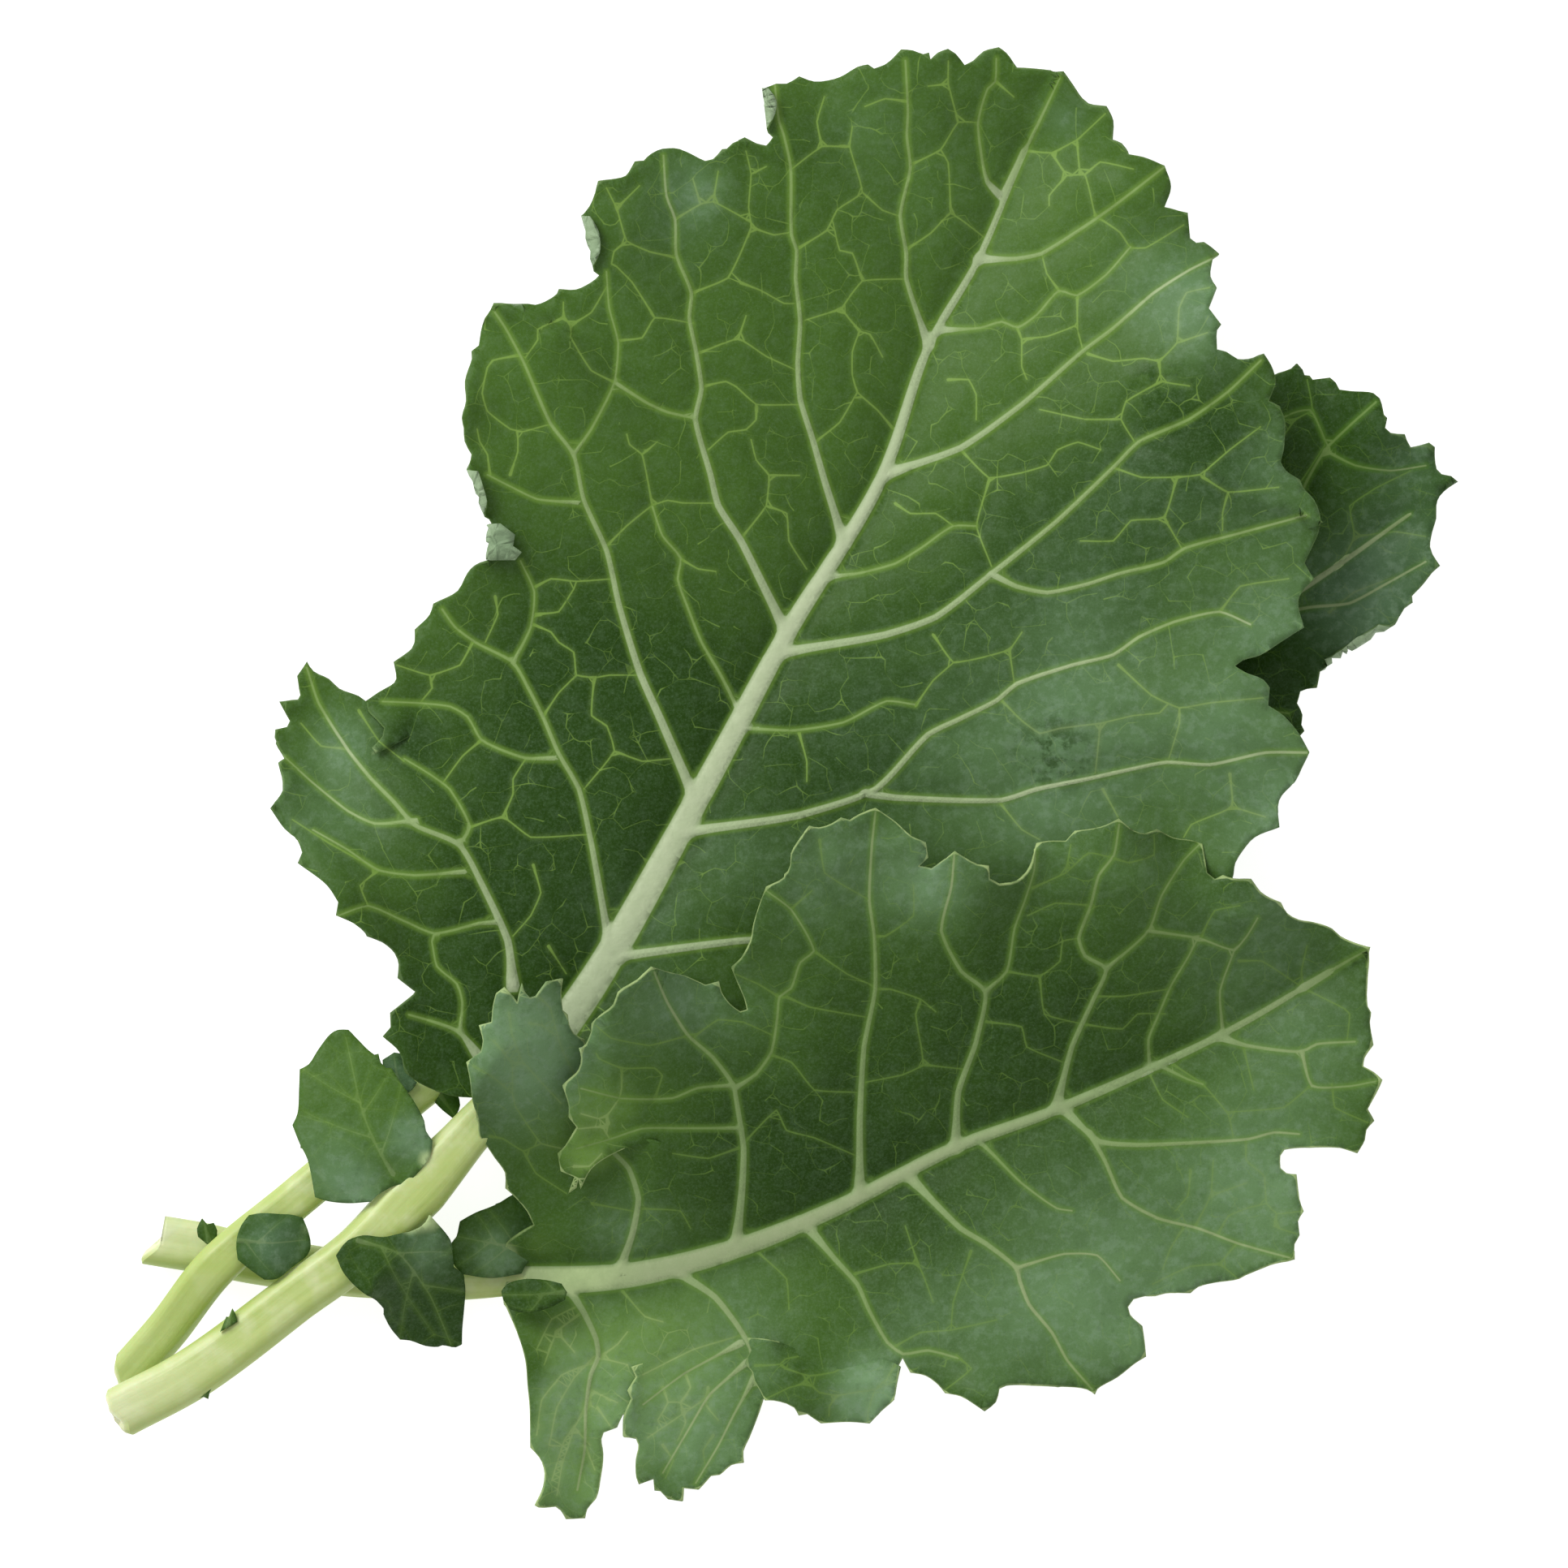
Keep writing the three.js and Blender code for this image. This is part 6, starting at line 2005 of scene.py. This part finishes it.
def large_blade() -> Sheet:
    """The large leaf's blade, with its torn lower left lobe and its rolled margins.

    Returns:
        The sheet.
    """
    margin = trace(LARGE_MARGIN, PITCH, True)
    mains = LARGE.lines(LARGE_VEINS)
    return Sheet(
        "large_leaf_blade_sheet", ("large_leaf_blade",), Slot.LARGE,
        [Layer(margin, margin, mains, LARGE_FORM.height), TEAR_FLAP.layer()], Net(13.5, 1),
        folds=(
            Fold((-57.5, 43.8), (-57.5, 51.8), 9.5),
            Fold((-57.6, 52), (-61.7, 63.2)),
            Fold((-36.2, 100), (-39, 112.9)),
            Fold((-2, 127.6), (-3.2, 138)),
        ),
        light=0.75,
        # painted light and shade in soft patches
        tone_light_and_shade=swells(
            (-50, -20, 34, -0.7), (-38, 18, 26, -0.5), (-68, -52, 12, -0.3), (20, 118, 40, 0.25),
            (60, 108, 26, 0.35), (-58, 80, 16, 0.2), (12, 10, 28, -0.6), (70, 60, 24, -0.35),
            (50, 38, 24, -0.4), (98, 55, 14, -0.2), (-75, -20, 12, 0.2), (-73, 8.5, 4, -0.7),
            (-30, 14, 20, -0.25), (84, 66, 12, -0.6), (-4, 112, 14, -0.25), (92, 86, 8, -0.3),
            (8, 126, 11, -0.35),
        ),
        # wax bloom under a painted sheen of the light, in soft patches
        bloom_and_sheen=swells(
            (82, 92, 12, 0.5), (60, 36, 26, 0.2), (58, 12, 22, 0.45), (92, 10, 16, 0.5),
            (97, 34, 13, 0.5), (-90, -4, 16, 0.36), (30, -10, 26, 0.25), (16, 20, 18, 0.12),
            (-18, 117, 8, 0.5), (14, 130, 9, 0.15), (96, 62, 14, 0.4), (30, 122, 22, 0.18),
            (-26, 108, 16, 0.15), (70, 62, 16, 0.15), (56, 132, 5, 0.4), (-87, 9, 6, 0.45),
            (74, 102, 12, 0.35), (-29, -29, 13, 0.3), (96, -10, 14, 0.5), (-8, -14, 12, 0.3),
            (58, -8, 16, 0.25), (84, 68, 9, -0.2),
        ),
        pale=swells((-80.9, 6.6, 1.4, 0.8)),
        links=LARGE_LINKS,
        wet=swells((5.4, 2.6, 9, 0.9), (53.4, 5.8, 11, 0.8), (74, 78, 8, 0.8), (10, 26, 8, 0.6)),
    )


def front_blade() -> Sheet:
    """The front leaf's blade: its upper lobe turns down and passes under the next one.

    Returns:
        The sheet.
    """
    seam = trace(LOBE_SEAM, PITCH)
    rib = FRONT.midrib()[:, :2]
    rib = rib[(rib[:, 0] > LOBE_RIB[0]) & (rib[:, 0] < LOBE_RIB[2])][::-1]
    outer = trace(FRONT_MARGIN, PITCH, False, True)
    lobe_outer = trace(LOBE_MARGIN, PITCH, False, True)
    main = np.vstack([outer[:-1], seam, rib])
    lobe = np.vstack([lobe_outer[:-1], seam, rib[rib[:, 0] > LOBE_RIB[1]]])

    def lobe_height(at: Numbers) -> Numbers:
        """The height of the turned-down lobe."""
        drop = smoothstep(-at[:, 0], 24.5, 37) * smoothstep(at[:, 1], -92, -72)
        return FRONT_FORM.height(at) - LOBE_DROP * drop

    mains, lobe_mains = FRONT.lines(FRONT_VEINS), FRONT.lines(LOBE_VEINS)
    return Sheet(
        "front_leaf_blade_sheet", ("front_leaf_blade",), Slot.FRONT,
        [Layer(main, outer[:-6], mains, FRONT_FORM.height),
         Layer(lobe, lobe_outer[:-6], lobe_mains, lobe_height),
         LOWER_FLAP.layer(), SIDE_FLAP.layer()],
        Net(12, 2),
        links=FRONT_LINKS,
        light=0.55,
        # painted light and shade in soft patches
        tone_light_and_shade=swells(
            (6, -74, 26, -0.5), (52, -48, 24, -0.35), (64, -16, 16, 0.3), (30, -22, 10, 0.2),
            (-3, -50, 12, 0.3), (-35, -64, 13, 0.9), (-39, -74, 5, 0.7), (-43, -118, 18, 1.1),
            (-42, -138, 14, 0.9), (-48, -91, 6, 0.7), (-18, -122, 16, 0.8), (0, -102, 14, 0.5),
            (98, -74, 24, 0.5), (-34, -84, 12, 0.05), (-51, -116, 4, -0.9), (-4, -38, 6, 0.4),
            (0, -115, 8, -0.4), (-52, -124, 4, -0.7), (12, -121, 9, 0.7), (-22, -104, 14, 0.5),
            (52, -108, 16, 0.3), (72, -106, 12, 0.3), (-48, -68, 11, 0.35),
        ),
        # wax bloom under a painted sheen of the light, in soft patches
        bloom_and_sheen=swells(
            (-52, -54, 15, 0.8), (8, -16, 14, 0.4), (30, -20, 9, 0.5), (-24, -42, 10, 0.5),
            (62, -92, 25, 0.45), (96, -80, 18, 0.6), (104, -48, 16, 0.4), (70, -14, 14, 0.25),
            (96, -26, 10, 0.35), (-16, -126, 14, 0.6), (84, -36, 12, 0.2), (-41, -124, 18, 0.58),
            (-44, -140, 8, 0.3), (-10, -104, 14, 0.3), (17, -120, 7, 0.8), (-52, -114, 5, -0.5),
            (-53, -124, 4, -0.4), (-31, -88, 9, 0.45), (46, -110, 14, 0.35), (74, -108, 14, 0.4),
            (20, -12, 16, 0.2), (-10, -44, 13, 0.25), (-48, -46, 11, 0.4), (26, -106, 11, 0.3),
            (50, -14, 12, 0.25), (14, -123, 7, 0.3),
        ),
        pale=swells((-54.5, -96, 3, 0.9), (-54.4, -92, 1.8, 0.6), (-42, -97.5, 12, 0.5)),
        wet=swells((3, -116.5, 3, 0.6), (11, -119, 2.5, 0.7)),
        frill=1.1,
    )


def back_blade() -> Sheet:
    """The back leaf's blade, which shows past the right of the large one.

    Returns:
        The sheet.
    """
    margin = trace(BACK_MARGIN, PITCH, True)
    mains = BACK.lines(BACK_VEINS)
    return Sheet(
        "back_leaf_blade_sheet", ("back_leaf_blade",), Slot.BACK,
        [Layer(margin, margin, mains, BACK_FORM.height, fill=2.0)], Net(10, 3),
        folds=(Fold((121, 33), (106.6, 24.2)),),
        light=0.5,
        links=BACK_LINKS,
        # painted shade in soft patches, and wax bloom under a painted sheen of the light
        tone_light_and_shade=swells((108, 74, 14, -0.2), (98, 14, 14, -0.5)),
        bloom_and_sheen=swells((122, 45, 15, 0.55), (112, 34, 12, 0.6), (123, 66, 8, 0.35)),
    )


def finish_piece(piece: bpy.types.Object, names: Iterable[str]) -> None:
    """Ties a piece to the frame and reports it.

    Args:
        piece: The finished object.
        names: The solid parts that it stands in for.
    """
    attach(piece, "root")
    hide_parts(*names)
    LOG.info("%s: %d faces", piece.name, len(piece.data.polygons))


def save_sizes() -> None:
    """Brings the scene's placements up to date."""
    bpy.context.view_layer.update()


def main() -> None:
    """Builds the bunch, piece by piece, and the studio around it."""
    logging.basicConfig(level=logging.INFO)
    Studio().build()
    flesh, under = STEM_FINISH.build(), UNDERSIDE.build()
    tops = {slot: finish.build() for slot, finish in TOPS.items()}
    for leaf in (LARGE, FRONT, BACK):
        stem = leaf.stem()
        finish_piece(stem.build(flesh), stem.replaces)
    sheets = [large_blade(), front_blade(), back_blade()]
    sheets += [leaflet.sheet() for leaflet in LEAFLETS]
    for sheet in sheets:
        finish_piece(sheet.build(tops[sheet.slot], under), sheet.replaces)
    save_sizes()


if __name__ == "__main__":
    main()
